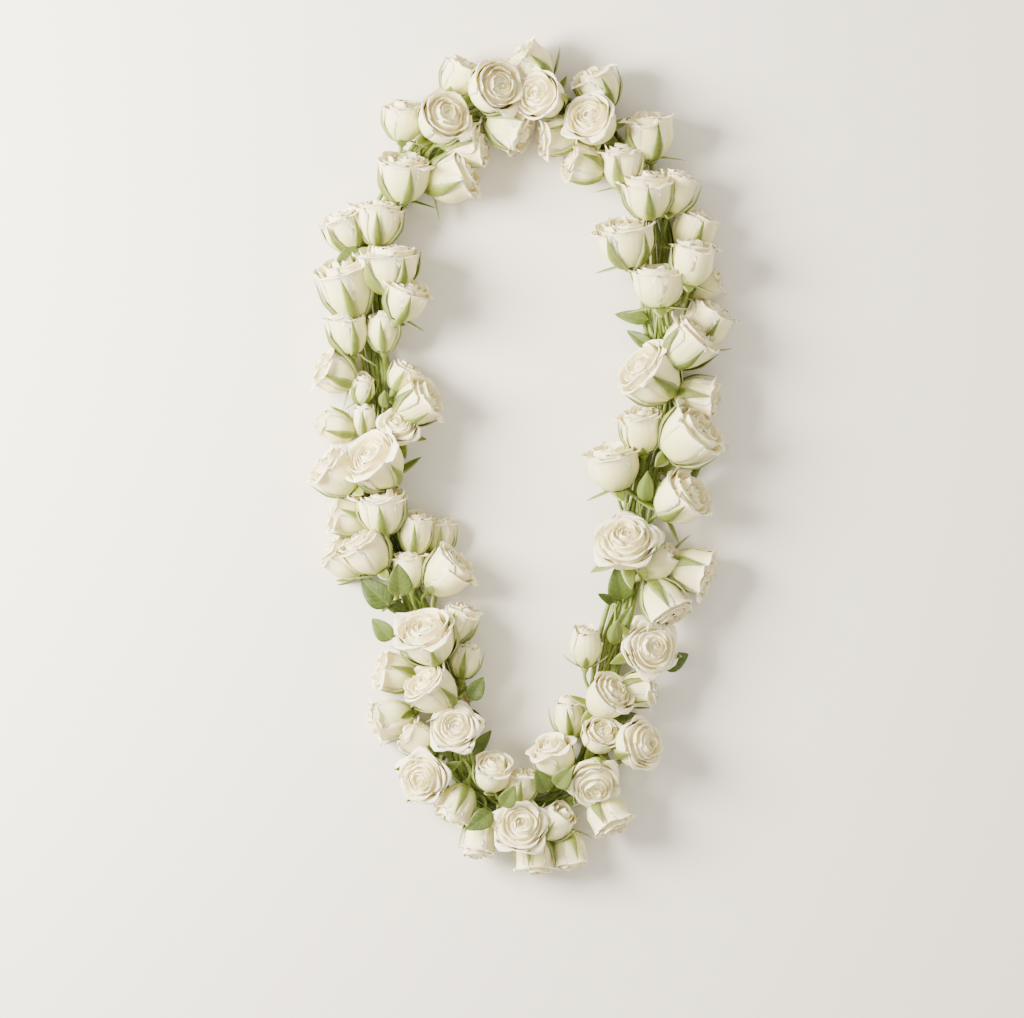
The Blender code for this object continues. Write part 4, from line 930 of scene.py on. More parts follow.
@dataclass(frozen=True)
class GreenFinish:
    """Fresh rose green with a thin wax bloom: stems, hips, sepals and leaves.

    It looks softly satin and unevenly green, with paler margins or veins where it has them.
    """

    name: str
    base: str
    light: str
    roughness: float = 0.48
    grain: float = 2.5 * MM
    relief: tuple = (0.18, 0.3 * MM)
    down: str = "#D3DAA6"
    veins: bool = False
    # Side veins: how far they slant back, how closely they follow, how thin they are and their
    # share of the pale green
    vein_slant: float = 0.28
    vein_pace: float = 44.0
    vein_crest: float = 0.80
    vein_share: float = 0.55
    # Where the midrib fades out and is at its full strength, from the middle of the blade
    rib_edge: tuple = (0.09, 0.03)
    # The pale margin's share at the rim, and where it starts
    margin: float = 0.0
    margin_start: float = 0.45
    # How far a piece's own tint shifts its mottling
    tint_shift: float = 0.6

    def build(self) -> Material:
        """Makes the material, with lighter mottling and, on leaves, pale side veins.

        Returns:
            The material.
        """
        material, tree = new_material(self.name)
        coordinates = add_node(tree, "ShaderNodeTexCoord")
        tint = add_node(tree, "ShaderNodeAttribute", attribute_name="tint")
        mottle = add_node(tree, "ShaderNodeTexNoise",
                          {"Vector": coordinates.outputs["Object"], "Scale": 1.0 / self.grain, "Detail": 4.0})
        spread = add_node(tree, "ShaderNodeMath",
                          {0: tint.outputs["Fac"], 1: self.tint_shift, 2: -0.5 * self.tint_shift},
                          operation="MULTIPLY_ADD")
        mixed = add_node(tree, "ShaderNodeMath", {0: mottle, 1: spread}, operation="ADD", use_clamp=True)
        colour = add_node(tree, "ShaderNodeMix", {0: mixed, 6: linear(self.base), 7: linear(self.light)},
                          data_type="RGBA")
        if self.veins:
            colour = self.add_veins(tree, colour)
        if self.margin:
            colour = self.add_margin(tree, colour)
        dress_shader(tree, colour, mottle, self.relief, Roughness=self.roughness, IOR=1.42,
                     Subsurface_Weight=0.15, Subsurface_Radius=(0.5, 0.8, 0.2), Subsurface_Scale=1.0 * MM)
        return material

    def add_margin(self, tree: NodeTree, colour: Node) -> Node:
        """Draws a sepal's pale downy margins.

        Args:
            tree: The material's tree.
            colour: The blade's colour.

        Returns:
            The colour with its margins.
        """
        across = add_node(tree, "ShaderNodeAttribute", attribute_name="across")
        side = add_node(tree, "ShaderNodeMath", {0: across.outputs["Fac"]}, operation="ABSOLUTE")
        rim = add_node(tree, "ShaderNodeMapRange",
                       {"Value": side, "From Min": self.margin_start, "From Max": 1.0,
                        "To Max": self.margin}, clamp=True)
        return add_node(tree, "ShaderNodeMix", {0: rim, 6: colour, 7: linear(self.down)}, data_type="RGBA")

    def add_veins(self, tree: NodeTree, colour: Node) -> Node:
        """Draws a leaf's midrib and side veins in a paler green.

        Args:
            tree: The material's tree.
            colour: The blade's colour.

        Returns:
            The colour with its veins.
        """
        along = add_node(tree, "ShaderNodeAttribute", attribute_name="along")
        across = add_node(tree, "ShaderNodeAttribute", attribute_name="across")
        side = add_node(tree, "ShaderNodeMath", {0: across.outputs["Fac"]}, operation="ABSOLUTE")
        slant = add_node(tree, "ShaderNodeMath", {0: side, 1: -self.vein_slant, 2: along.outputs["Fac"]},
                         operation="MULTIPLY_ADD")
        wave = add_node(tree, "ShaderNodeMath", {0: slant, 1: self.vein_pace}, operation="MULTIPLY")
        crest = add_node(tree, "ShaderNodeMath", {0: wave}, operation="SINE")
        vein, rib = (
            add_node(tree, "ShaderNodeMapRange", {"Value": value, "From Min": low, "From Max": high},
                     clamp=True)
            for value, (low, high) in ((crest, (self.vein_crest, 1.0)), (side, self.rib_edge)))
        both = add_node(tree, "ShaderNodeMath", {0: vein, 1: rib}, operation="MAXIMUM")
        share = add_node(tree, "ShaderNodeMath", {0: both, 1: self.vein_share}, operation="MULTIPLY")
        return add_node(tree, "ShaderNodeMix", {0: share, 6: colour, 7: linear(self.light)},
                        data_type="RGBA")


@dataclass(frozen=True)
class FibreFinish:
    """Jute, spun and then twisted or braided.

    It looks dry and matt, with loose darker and paler fibres and a faint fuzz.
    """

    name: str
    base: str
    light: str
    fibre_pitch: float = 0.35 * MM
    relief: tuple = (0.5, 0.15 * MM)

    def build(self) -> Material:
        """Makes the fibre material.

        Returns:
            The material.
        """
        material, tree = new_material(self.name)
        coordinates = add_node(tree, "ShaderNodeTexCoord")
        fibre = add_node(tree, "ShaderNodeTexNoise",
                         {"Vector": coordinates.outputs["Object"], "Scale": 1.0 / self.fibre_pitch,
                          "Detail": 3.0})
        colour = add_node(tree, "ShaderNodeMix", {0: fibre, 6: linear(self.base), 7: linear(self.light)},
                          data_type="RGBA")
        dress_shader(tree, colour, fibre, self.relief, Roughness=0.9, Sheen_Weight=0.3)
        return material


class NodeTool:
    """A Geometry Nodes tree with named inputs, run on a mesh to give a plain mesh."""

    def __init__(self, name: str, sockets: dict[str, str]) -> None:
        """Makes the tree's interface.

        Args:
            name: The tree's name.
            sockets: Socket type by input name.
        """
        self.tree = bpy.data.node_groups.new(name, "GeometryNodeTree")
        interface = self.tree.interface
        interface.new_socket(name="Geometry", in_out="INPUT", socket_type="NodeSocketGeometry")
        self.inputs = {key: interface.new_socket(name=key, in_out="INPUT", socket_type=kind).identifier
                       for key, kind in sockets.items()}
        interface.new_socket(name="Geometry", in_out="OUTPUT", socket_type="NodeSocketGeometry")
        self.source = add_node(self.tree, "NodeGroupInput")
        self.result = add_node(self.tree, "NodeGroupOutput")

    def end(self, geometry: Node) -> None:
        """Ends the tree in Realize Instances, smooth shading and Set Material.

        Args:
            geometry: The node that gives the tree's result.
        """
        real = add_node(self.tree, "GeometryNodeRealizeInstances", {"Geometry": geometry})
        smooth = add_node(self.tree, "GeometryNodeSetShadeSmooth", {"Geometry": real})
        finish = add_node(self.tree, "GeometryNodeSetMaterial",
                          {"Geometry": smooth, "Material": self.source.outputs["Material"]})
        self.tree.links.new(finish.outputs[0], self.result.inputs[0])

    def attribute(self, name: str, data_type: str) -> Node:
        """Reads a named attribute of the points."""
        return add_node(self.tree, "GeometryNodeInputNamedAttribute", {"Name": name}, data_type=data_type)

    def run(self, seed_mesh: Mesh, name: str, **values: object) -> Mesh:
        """Runs the tree on a mesh.

        Args:
            seed_mesh: The points or lines that the tree reads.
            name: The name of the mesh that comes out.
            **values: The tree's inputs by name, with underscores for spaces.

        Returns:
            The plain mesh.
        """
        carrier = add_object(name, seed_mesh)
        modifier = carrier.modifiers.new("tool", "NODES")
        modifier.node_group = self.tree
        for key, value in values.items():
            modifier[self.inputs[key.replace("_", " ")]] = value
        depsgraph = bpy.context.evaluated_depsgraph_get()
        mesh = bpy.data.meshes.new_from_object(carrier.evaluated_get(depsgraph), depsgraph=depsgraph)
        bpy.data.objects.remove(carrier)
        mesh.name = name
        return mesh


class PlantingTool(NodeTool):
    """Sets prototypes of a collection on points, each turned, scaled and a little unlike."""

    def __init__(self) -> None:
        """Builds the tree."""
        super().__init__("planting", {"Prototypes": "NodeSocketCollection", "Wobble": "NodeSocketFloat",
                                      "Seed": "NodeSocketInt", "Material": "NodeSocketMaterial"})
        tree, given = self.tree, self.source.outputs
        picked = add_node(tree, "GeometryNodeCollectionInfo",
                          {"Collection": given["Prototypes"], "Separate Children": True,
                           "Reset Children": True})
        turn = add_node(tree, "FunctionNodeEulerToRotation",
                        {"Euler": self.attribute("turn", "FLOAT_VECTOR")})
        low = add_node(tree, "ShaderNodeMath", {0: given["Wobble"], 1: -1.0}, operation="MULTIPLY")
        wobble = add_node(tree, "FunctionNodeRandomValue",
                          {0: low, 1: given["Wobble"], "Seed": given["Seed"]}, data_type="FLOAT_VECTOR")
        sway = add_node(tree, "FunctionNodeEulerToRotation", {"Euler": wobble})
        turned = add_node(tree, "FunctionNodeRotateRotation", {"Rotation": turn, "Rotate By": sway},
                          rotation_space="LOCAL")
        planted = add_node(tree, "GeometryNodeInstanceOnPoints",
                           {"Points": given["Geometry"], "Instance": picked, "Pick Instance": True,
                            "Instance Index": self.attribute("pick", "INT"), "Rotation": turned,
                            "Scale": self.attribute("spread", "FLOAT_VECTOR")})
        self.end(planted)


class TubeTool(NodeTool):
    """Sweeps a round or lobed section along lines, as thick as their points say."""

    def __init__(self) -> None:
        """Builds the tree."""
        super().__init__("tube", {"Sides": "NodeSocketInt", "Lobes": "NodeSocketFloat",
                                  "Lobe Depth": "NodeSocketFloat", "Material": "NodeSocketMaterial"})
        tree, given = self.tree, self.source.outputs
        curve = add_node(tree, "GeometryNodeMeshToCurve", {"Mesh": given["Geometry"]})
        tilted = add_node(tree, "GeometryNodeSetCurveTilt",
                          {"Curve": curve, "Tilt": self.attribute("twist", "FLOAT")})
        circle = add_node(tree, "GeometryNodeCurvePrimitiveCircle",
                          {"Resolution": given["Sides"], "Radius": 1.0})
        place = add_node(tree, "GeometryNodeSplineParameter")
        turns = add_node(tree, "ShaderNodeMath", {0: place, 1: given["Lobes"]}, operation="MULTIPLY")
        angle = add_node(tree, "ShaderNodeMath", {0: turns, 1: math.tau}, operation="MULTIPLY")
        wave = add_node(tree, "ShaderNodeMath", {0: angle}, operation="COSINE")
        swell = add_node(tree, "ShaderNodeMath", {0: wave, 1: given["Lobe Depth"], 2: 1.0},
                         operation="MULTIPLY_ADD")
        position = add_node(tree, "GeometryNodeInputPosition")
        lobed = add_node(tree, "ShaderNodeVectorMath", {0: position, "Scale": swell}, operation="SCALE")
        section = add_node(tree, "GeometryNodeSetPosition", {"Geometry": circle, "Position": lobed})
        swept = add_node(tree, "GeometryNodeCurveToMesh",
                         {"Curve": tilted, "Profile Curve": section,
                          "Scale": self.attribute("thick", "FLOAT"), "Fill Caps": True})
        self.end(swept)


def mesh_with(name: str, points: np.ndarray, edges: list | tuple = (), faces: list | tuple = (),
              attributes: dict[str, tuple] | None = None) -> Mesh:
    """Makes a mesh with named attributes on its points.

    Args:
        name: The mesh's name.
        points: One row of X, Y and Z for each point.
        edges: Pairs of point numbers.
        faces: Point numbers of each face.
        attributes: Data type and values by attribute name.

    Returns:
        The mesh.
    """
    mesh = bpy.data.meshes.new(name)
    mesh.from_pydata([tuple(point) for point in points], edges, faces)
    for key, (kind, values) in (attributes or {}).items():
        layer = mesh.attributes.new(key, kind, "POINT")
        layer.data.foreach_set("vector" if kind == "FLOAT_VECTOR" else "value", np.ravel(values))
    return mesh


@dataclass
class Planting:
    """Points on which prototypes are set, gathered one by one."""

    rows: list = field(default_factory=list)

    def add(self, place: Vector, turn: Matrix, spread: tuple, pick: int, whorl: float, tint: float) -> None:
        """Adds one point.

        Args:
            place: Where it is.
            turn: How the prototype is turned there.
            spread: Its scale on each axis.
            pick: The prototype's number.
            whorl: 1 for the outermost petals of a head down to 0 for the innermost.
            tint: A share from 0 to 1 that shifts its colour.
        """
        self.rows.append((tuple(place), tuple(turn.to_euler()), spread, pick, whorl, tint))

    def mesh(self) -> Mesh:
        """Gives the points as a mesh for the planting tool.

        Returns:
            The mesh, with an attribute for each thing that a point says.
        """
        places, *columns = zip(*self.rows)
        kinds = {"turn": "FLOAT_VECTOR", "spread": "FLOAT_VECTOR", "pick": "INT", "whorl": "FLOAT",
                 "tint": "FLOAT"}
        return mesh_with("points", places, attributes={
            key: (kind, values) for (key, kind), values in zip(kinds.items(), columns)})


@dataclass
class Lines:
    """Lines that become tubes, gathered one by one."""

    points: list = field(default_factory=list)
    edges: list = field(default_factory=list)
    thick: list = field(default_factory=list)
    twist: list = field(default_factory=list)
    tints: list = field(default_factory=list)

    def add(self, path: list[Vector], thick: list[float], tint: float, twist: float = 0.0) -> None:
        """Adds one line.

        Args:
            path: Its points.
            thick: The tube's radius at each point.
            tint: A share from 0 to 1 that shifts its colour.
            twist: Radians that the section turns from each point to the next.
        """
        first = len(self.points)
        self.points.extend(tuple(point) for point in path)
        self.edges.extend((first + i, first + i + 1) for i in range(len(path) - 1))
        self.thick.extend(thick)
        self.twist.extend(twist * i for i in range(len(path)))
        self.tints.extend([tint] * len(path))

    def mesh(self) -> Mesh:
        """Gives the lines as a mesh for the tube tool."""
        values = {"thick": self.thick, "twist": self.twist, "tint": self.tints}
        return mesh_with("lines", self.points, self.edges, (), {k: ("FLOAT", v) for k, v in values.items()})


def thin_shell(surface: np.ndarray, thickness: float, name: str) -> Mesh:
    """Closes a grid of surface points into a thin blade that narrows to its rim.

    Args:
        surface: Points by row along and column across, with the outer side to the left of the
            way from row to column.
        thickness: Thickness of the blade at its middle.
        name: The mesh's name.

    Returns:
        The closed mesh, with attributes along and across from 0 and -1 to 1.
    """
    rows, columns, _ = surface.shape
    down = np.gradient(surface, axis=0)
    side = np.gradient(surface, axis=1)
    normal = np.cross(side, down)
    normal /= np.linalg.norm(normal, axis=2, keepdims=True) + 1e-12
    v, u = blade_grid(rows, columns)
    # It thins over the outer third of each side and the last quarter of the way
    body = np.minimum(1.0, 3.0 * (1.0 - np.abs(u))) * np.minimum(1.0, 4.0 * (1.0 - v))
    half = 0.5 * thickness * (RIM_SHARE + (1.0 - RIM_SHARE) * body)[:, :, None]
    points = np.vstack([face.reshape(-1, 3) for face in (surface + normal * half, surface - normal * half)])
    count = rows * columns
    faces = []
    for i in range(rows - 1):
        for a in range(i * columns, (i + 1) * columns - 1):
            b, c, d = a + 1, a + columns + 1, a + columns
            faces.append((a, b, c, d))
            faces.append((count + d, count + c, count + b, count + a))
    rim = [(0, j) for j in range(columns)] + [(i, columns - 1) for i in range(1, rows)]
    rim += [(rows - 1, j) for j in range(columns - 2, -1, -1)] + [(i, 0) for i in range(rows - 2, 0, -1)]
    edge = [i * columns + j for i, j in rim]
    for here, after in zip(edge, edge[1:] + edge[:1]):
        faces.append((after, here, count + here, count + after))
    return mesh_with(name, points, faces=faces, attributes={
        key: ("FLOAT", np.tile(np.broadcast_to(values, (rows, columns)).ravel(), 2))
        for key, values in (("along", v), ("across", u))})


def round_body(points: np.ndarray, name: str, along: float = 0.0) -> Mesh:
    """Closes rings of points into a body, with a flat face at each end.

    Args:
        points: Points by ring and by place in the ring.
        name: The mesh's name.
        along: The share of a blade's length whose colour it takes.

    Returns:
        The closed mesh.
    """
    rows, columns, _ = points.shape
    faces = [(i * columns + j, (i + 1) * columns + j, (i + 1) * columns + (j + 1) % columns,
              i * columns + (j + 1) % columns) for i in range(rows - 1) for j in range(columns)]
    faces.append(tuple(range(columns)))
    faces.append(tuple(reversed(range((rows - 1) * columns, rows * columns))))
    return mesh_with(name, points.reshape(-1, 3), faces=faces,
                     attributes={"along": ("FLOAT", np.full(rows * columns, along))})


class Prototypes:
    """Meshes that are planted by number, kept in a collection of their own."""

    def __init__(self, name: str) -> None:
        """Makes the empty collection.

        Args:
            name: The collection's name.
        """
        self.name = name
        self.collection = bpy.data.collections.new(name)
        bpy.context.scene.collection.children.link(self.collection)
        self.count = 0

    def add(self, mesh: Mesh) -> int:
        """Adds a mesh.

        Args:
            mesh: A prototype.

        Returns:
            Its number.
        """
        item = bpy.data.objects.new(f"{self.name}_{self.count:03d}", mesh)
        self.collection.objects.link(item)
        self.count += 1
        return self.count - 1

    def remove(self) -> None:
        """Removes the prototypes once all pieces are planted."""
        for item in list(self.collection.objects):
            bpy.data.objects.remove(item)
        bpy.data.collections.remove(self.collection)


@dataclass(frozen=True)
class WhorlShape:
    """A whorl of petals, in shares of the head's radius and height, angles in degrees."""

    petals: int
    belly: float
    neck: float
    lip: float
    lip_height: float
    curl: float
    drop: float
    half_angle: float
    point: float = 0.04
    fine: bool = False


FORMS = {
    Kind.CUP: (
        WhorlShape(5, 0.94, 0.97, 1.05, 0.90, 0.18, 0.030, 54.0, 0.12, True),
        WhorlShape(4, 0.85, 0.84, 0.91, 0.96, 0.11, 0.020, 64.0, 0.09, True),
        WhorlShape(4, 0.76, 0.69, 0.66, 0.99, 0.06, 0.015, 64.0, 0.04, True),
        WhorlShape(4, 0.62, 0.54, 0.46, 1.00, 0.02, 0.000, 64.0),
        WhorlShape(3, 0.47, 0.38, 0.28, 1.00, 0.00, -0.005, 80.0),
        WhorlShape(3, 0.32, 0.23, 0.13, 0.99, -0.02, -0.005, 82.0),
        WhorlShape(2, 0.17, 0.10, 0.04, 0.94, 0.00, 0.000, 110.0, 0.0),
    ),
    Kind.SMALL: (
        WhorlShape(5, 0.95, 0.92, 0.99, 0.90, 0.16, 0.025, 54.0, 0.13, True),
        WhorlShape(4, 0.86, 0.75, 0.76, 0.97, 0.10, 0.030, 64.0, 0.06, True),
        WhorlShape(4, 0.70, 0.58, 0.51, 0.99, 0.03, 0.000, 64.0),
        WhorlShape(3, 0.53, 0.42, 0.31, 1.00, 0.00, -0.005, 80.0),
        WhorlShape(3, 0.34, 0.25, 0.14, 0.99, -0.02, -0.005, 82.0),
        WhorlShape(2, 0.17, 0.10, 0.04, 0.95, 0.00, 0.000, 110.0, 0.0),
    ),
    Kind.BUD: (
        WhorlShape(3, 0.97, 0.80, 0.72, 0.93, 0.07, 0.030, 78.0, 0.10, True),
        WhorlShape(3, 0.84, 0.61, 0.50, 0.98, 0.06, 0.020, 78.0, 0.08, True),
        WhorlShape(3, 0.62, 0.41, 0.24, 1.00, 0.00, 0.000, 82.0, 0.06),
        WhorlShape(2, 0.38, 0.20, 0.07, 0.99, 0.00, 0.000, 112.0),
    ),
    Kind.ROSETTE: (
        WhorlShape(5, 0.92, 0.94, 1.04, 0.64, 0.20, 0.050, 52.0, 0.05, True),
        WhorlShape(5, 0.83, 0.82, 0.92, 0.75, 0.16, 0.035, 52.0, 0.05, True),
        WhorlShape(5, 0.71, 0.69, 0.75, 0.83, 0.11, 0.020, 52.0, 0.04, True),
        WhorlShape(4, 0.60, 0.57, 0.57, 0.89, 0.05, 0.000, 64.0, 0.03, True),
        WhorlShape(4, 0.49, 0.44, 0.39, 0.93, 0.01, -0.005, 64.0, 0.03),
        WhorlShape(3, 0.36, 0.30, 0.24, 0.95, -0.01, -0.005, 80.0, 0.02),
        WhorlShape(3, 0.24, 0.18, 0.11, 0.95, -0.02, -0.005, 80.0, 0.0),
        WhorlShape(2, 0.14, 0.08, 0.03, 0.91, 0.00, 0.000, 110.0, 0.0),
    ),
}


@dataclass
class Blooms:
    """The rose heads of all sprays: petals in whorls round each head's axis."""

    thickness: float = 0.30 * MM
    fine_grid: tuple = (9, 9)
    plain_grid: tuple = (8, 7)
    variants: int = 3
    wobble: float = math.radians(1.6)
    # A petal's irregularities, in shares of the head's radius, or of its height for the ripple
    frill: float = 0.028
    ripple: float = 0.016
    tuck: float = 0.045
    bow: float = 0.035
    # How much shorter a petal is at its sides, and how wide its claw is
    corner_drop: float = 0.30
    claw_width: float = 0.62
    # Ranges of a petal's draws: where its lip comes to a point and how far, its curl, its height
    # and its place in the whorl
    lean_range: tuple = (-0.35, 0.35)
    notch_range: tuple = (0.3, 1.5)
    curl_range: tuple = (0.4, 1.6)
    stretch_range: tuple = (0.90, 1.05)
    place_range: tuple = (-0.10, 0.10)
    # A heart's width, the height of its rim and of its middle, in shares of the head's
    hearts: dict = field(default_factory=lambda: {
        Kind.CUP: (0.86, 0.66, 0.91), Kind.SMALL: (0.78, 0.66, 0.92), Kind.BUD: (0.50, 0.62, 0.92),
        Kind.ROSETTE: (0.86, 0.48, 0.86)})
    # Where a heart takes its colour from on a petal, on which whorl, and its tint
    heart_along: float = 0.8
    heart_whorl: float = 0.2
    heart_tint: float = 0.5
    heart_grid: tuple = (12, 28)
    # How far out the dome runs before it narrows down, and how high its ridges are
    heart_shoulder: float = 0.72
    heart_ridge: float = 0.022
    # Radians from one whorl to the next
    whorl_turn: float = 2.4

    def petal(self, whorl: WhorlShape, rng: np.random.Generator, name: str) -> Mesh:
        """Makes one petal: it cups up round the axis, rolls out at the lip and tucks one edge in.

        Args:
            whorl: The whorl that it belongs to.
            rng: The source of its small irregularities.
            name: The mesh's name.

        Returns:
            The closed mesh.
        """
        v, u = blade_grid(*(self.fine_grid if whorl.fine else self.plain_grid))
        phase, lean = rng.uniform(0.0, math.tau), rng.uniform(*self.lean_range)
        notch = whorl.point * rng.uniform(*self.notch_range)
        length = 1.0 - self.corner_drop * np.abs(u) ** 2.4 + notch * np.exp(-((u - lean) / 0.30) ** 2)
        t = v ** 0.8 * length
        curl = rng.uniform(*self.curl_range) * (0.25 + 0.75 * np.exp(-((u - lean) / 0.50) ** 2))
        radius, height = self.profile(whorl, t, curl)
        frill = self.frill * np.sin(u * 4.6 + phase) * t ** 4
        # One edge lies inside its neighbour, the other outside
        radius = radius * (1.0 - self.bow * u ** 2 * t) + frill + self.tuck * u * t
        height = height + self.ripple * np.sin(u * 5.9 + 2.0 * phase) * t ** 3
        widen = self.claw_width + (1.0 - self.claw_width) * np.sin(np.clip(t, 0.0, 1.0) * math.pi * 0.60)
        angle = math.radians(whorl.half_angle) * u * widen
        surface = grid_points(radius * np.cos(angle) * MODEL_RADIUS, radius * np.sin(angle) * MODEL_RADIUS,
                              height * MODEL_HEIGHT)
        return thin_shell(surface, self.thickness, name)

    def profile(self, whorl: WhorlShape, t: np.ndarray, curl: np.ndarray) -> tuple[np.ndarray, np.ndarray]:
        """Radius and height of a petal's surface from claw to lip.

        Args:
            whorl: The whorl.
            t: Shares of the way.
            curl: How far the lip rolls out across this petal, as a share of the whorl's.

        Returns:
            The radii and the heights.
        """
        top = whorl.lip_height
        knots = np.array(((0.12, -0.02), (0.50 * whorl.belly, 0.03), (0.79 * whorl.belly, 0.21),
                          (whorl.belly, 0.50 * top), (whorl.neck, 0.80 * top), (whorl.lip, top),
                          (whorl.lip, top)))
        rolled = knots.copy()
        rolled[-1] += (whorl.curl, -whorl.drop)
        place = t * (len(knots) - 1)
        upright = [smooth_through(knots[:, k], place) for k in (0, 1)]
        out = [smooth_through(rolled[:, k], place) for k in (0, 1)]
        return tuple(a + (b - a) * curl for a, b in zip(upright, out))

    def heart(self, kind: Kind, name: str) -> Mesh:
        """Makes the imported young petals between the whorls, as one low ridged dome.

        Args:
            kind: The kind of head.
            name: The mesh's name.

        Returns:
            The closed mesh.
        """
        width, rim, top = self.hearts[kind]
        t, a = ring_grid(*self.heart_grid)
        shoulder = self.heart_shoulder
        out = np.minimum(1.0, t / shoulder)
        share = np.sin(0.5 * math.pi * out) - 0.55 * np.maximum(0.0, t - shoulder) / (1.0 - shoulder)
        share = np.maximum(share, 0.02)
        ridge = self.heart_ridge * np.sin(3.0 * a + 15.0 * share) * np.sin(math.pi * out)
        height = np.where(t <= shoulder, top - (top - rim) * share ** 3 + ridge, rim - 0.9 * (t - shoulder))
        radius = width * share * MODEL_RADIUS
        points = grid_points(radius * np.cos(a), radius * np.sin(a), height * MODEL_HEIGHT)
        return round_body(points, name, self.heart_along)

    def petal_prototypes(self) -> tuple[Prototypes, dict]:
        """Makes the petals of every whorl and, after them, the hearts.

        Returns:
            The prototypes, and their numbers by kind, whorl and variant, or by kind for the hearts.
        """
        petals, numbers = Prototypes("petal"), {}
        for kind, whorls in FORMS.items():
            for level, whorl in enumerate(whorls):
                for variant in range(self.variants):
                    name = f"petal_{kind.value}_{level}_{variant}"
                    mesh = self.petal(whorl, Draw.BLOOM.rng(petals.count), name)
                    numbers[kind, level, variant] = petals.add(mesh)
        for kind in FORMS:
            numbers[kind] = petals.add(self.heart(kind, f"heart_{kind.value}"))
        return petals, numbers

    def build(self, layout: Layout, tool: PlantingTool, material: Material) -> None:
        """Plants the petals of every spray and puts each spray in its node's place.

        Args:
            layout: The seated heads.
            tool: The Geometry Nodes tool that plants petals.
            material: The petals' finish.
        """
        petals, numbers = self.petal_prototypes()
        for node in layout.spray_nodes:
            heads = [head for head in layout.heads if head.node == node]
            if not heads:
                LOG.warning("%s holds no head", node)
                continue
            planting = Planting()
            for head in heads:
                self.plant_head(head, planting, numbers)
            mesh = tool.run(planting.mesh(), node.replace("rose_spray", "spray_blooms"), Seed=SEED,
                            Prototypes=petals.collection, Wobble=self.wobble, Material=material)
            place_piece(mesh, "petals", node)
        petals.remove()

    def plant_head(self, head: Head, planting: Planting, numbers: dict) -> None:
        """Adds the petals of one head, each whorl turned on from the last.

        Args:
            head: A seated head.
            planting: The points that take the petals.
            numbers: Prototype numbers by kind, whorl and variant, and by kind for the hearts.
        """
        rng = Draw.BLOOM.rng(head.index)
        turn = head.turn()
        start = rng.uniform(0.0, math.tau)
        whorls = FORMS[head.kind]
        wide, tall = head.scale()
        planting.add(head.base, turn, (wide, wide, tall), numbers[head.kind], self.heart_whorl,
                     self.heart_tint)
        for level, whorl in enumerate(whorls):
            start += self.whorl_turn
            for k in range(whorl.petals):
                angle = start + math.tau * (k + rng.uniform(*self.place_range)) / whorl.petals
                size = (wide, wide, tall * rng.uniform(*self.stretch_range))
                planting.add(head.base, turn @ Matrix.Rotation(angle, 3, "Z"), size,
                             numbers[head.kind, level, int(rng.integers(self.variants))],
                             1.0 - level / (len(whorls) - 1), rng.uniform())


@dataclass
class LeafBlade:
    """A smooth-edged rose leaflet, folded along its midrib, one unit long."""

    DROOP = 0.22
    fold: float = 0.26
    half_width: float = 0.33
    stalk_width: float = 0.012
    # How far its edge ripples and how far it bends down
    ripple: float = 0.02
    rim_bend: float = 0.10
    thickness: float = 0.022
    rows: int = 15
    columns: int = 11

    def mesh(self, rng: np.random.Generator, name: str) -> Mesh:
        """Makes one leaf with its tip at +X.

        Args:
            rng: The source of its small irregularities.
            name: The mesh's name.

        Returns:
            The closed mesh.
        """
        t, u = blade_grid(self.rows, self.columns)
        phase = rng.uniform(0.0, math.tau)
        width = self.half_width * np.sin(math.pi * t ** 0.8) ** 0.75 * (1.0 - 0.25 * t) + self.stalk_width
        y = u * width * 1.12
        z = self.fold * np.abs(y) - self.DROOP * t ** 2
        z = z + self.ripple * np.sin(9.0 * t + phase) * np.abs(u) ** 1.5
        z = z - self.rim_bend * np.abs(u) ** 3 * width
        return thin_shell(grid_points(t, y, z), self.thickness, name)


@dataclass
class Sprig:
    """A leaf or closed bud and the stalk that it stands on."""

    placed: Matrix
    root: Vector
    bunch: int
    size: tuple[float, float, float]
    pick: int
    tint: float
    stalk: tuple[float, float, float]


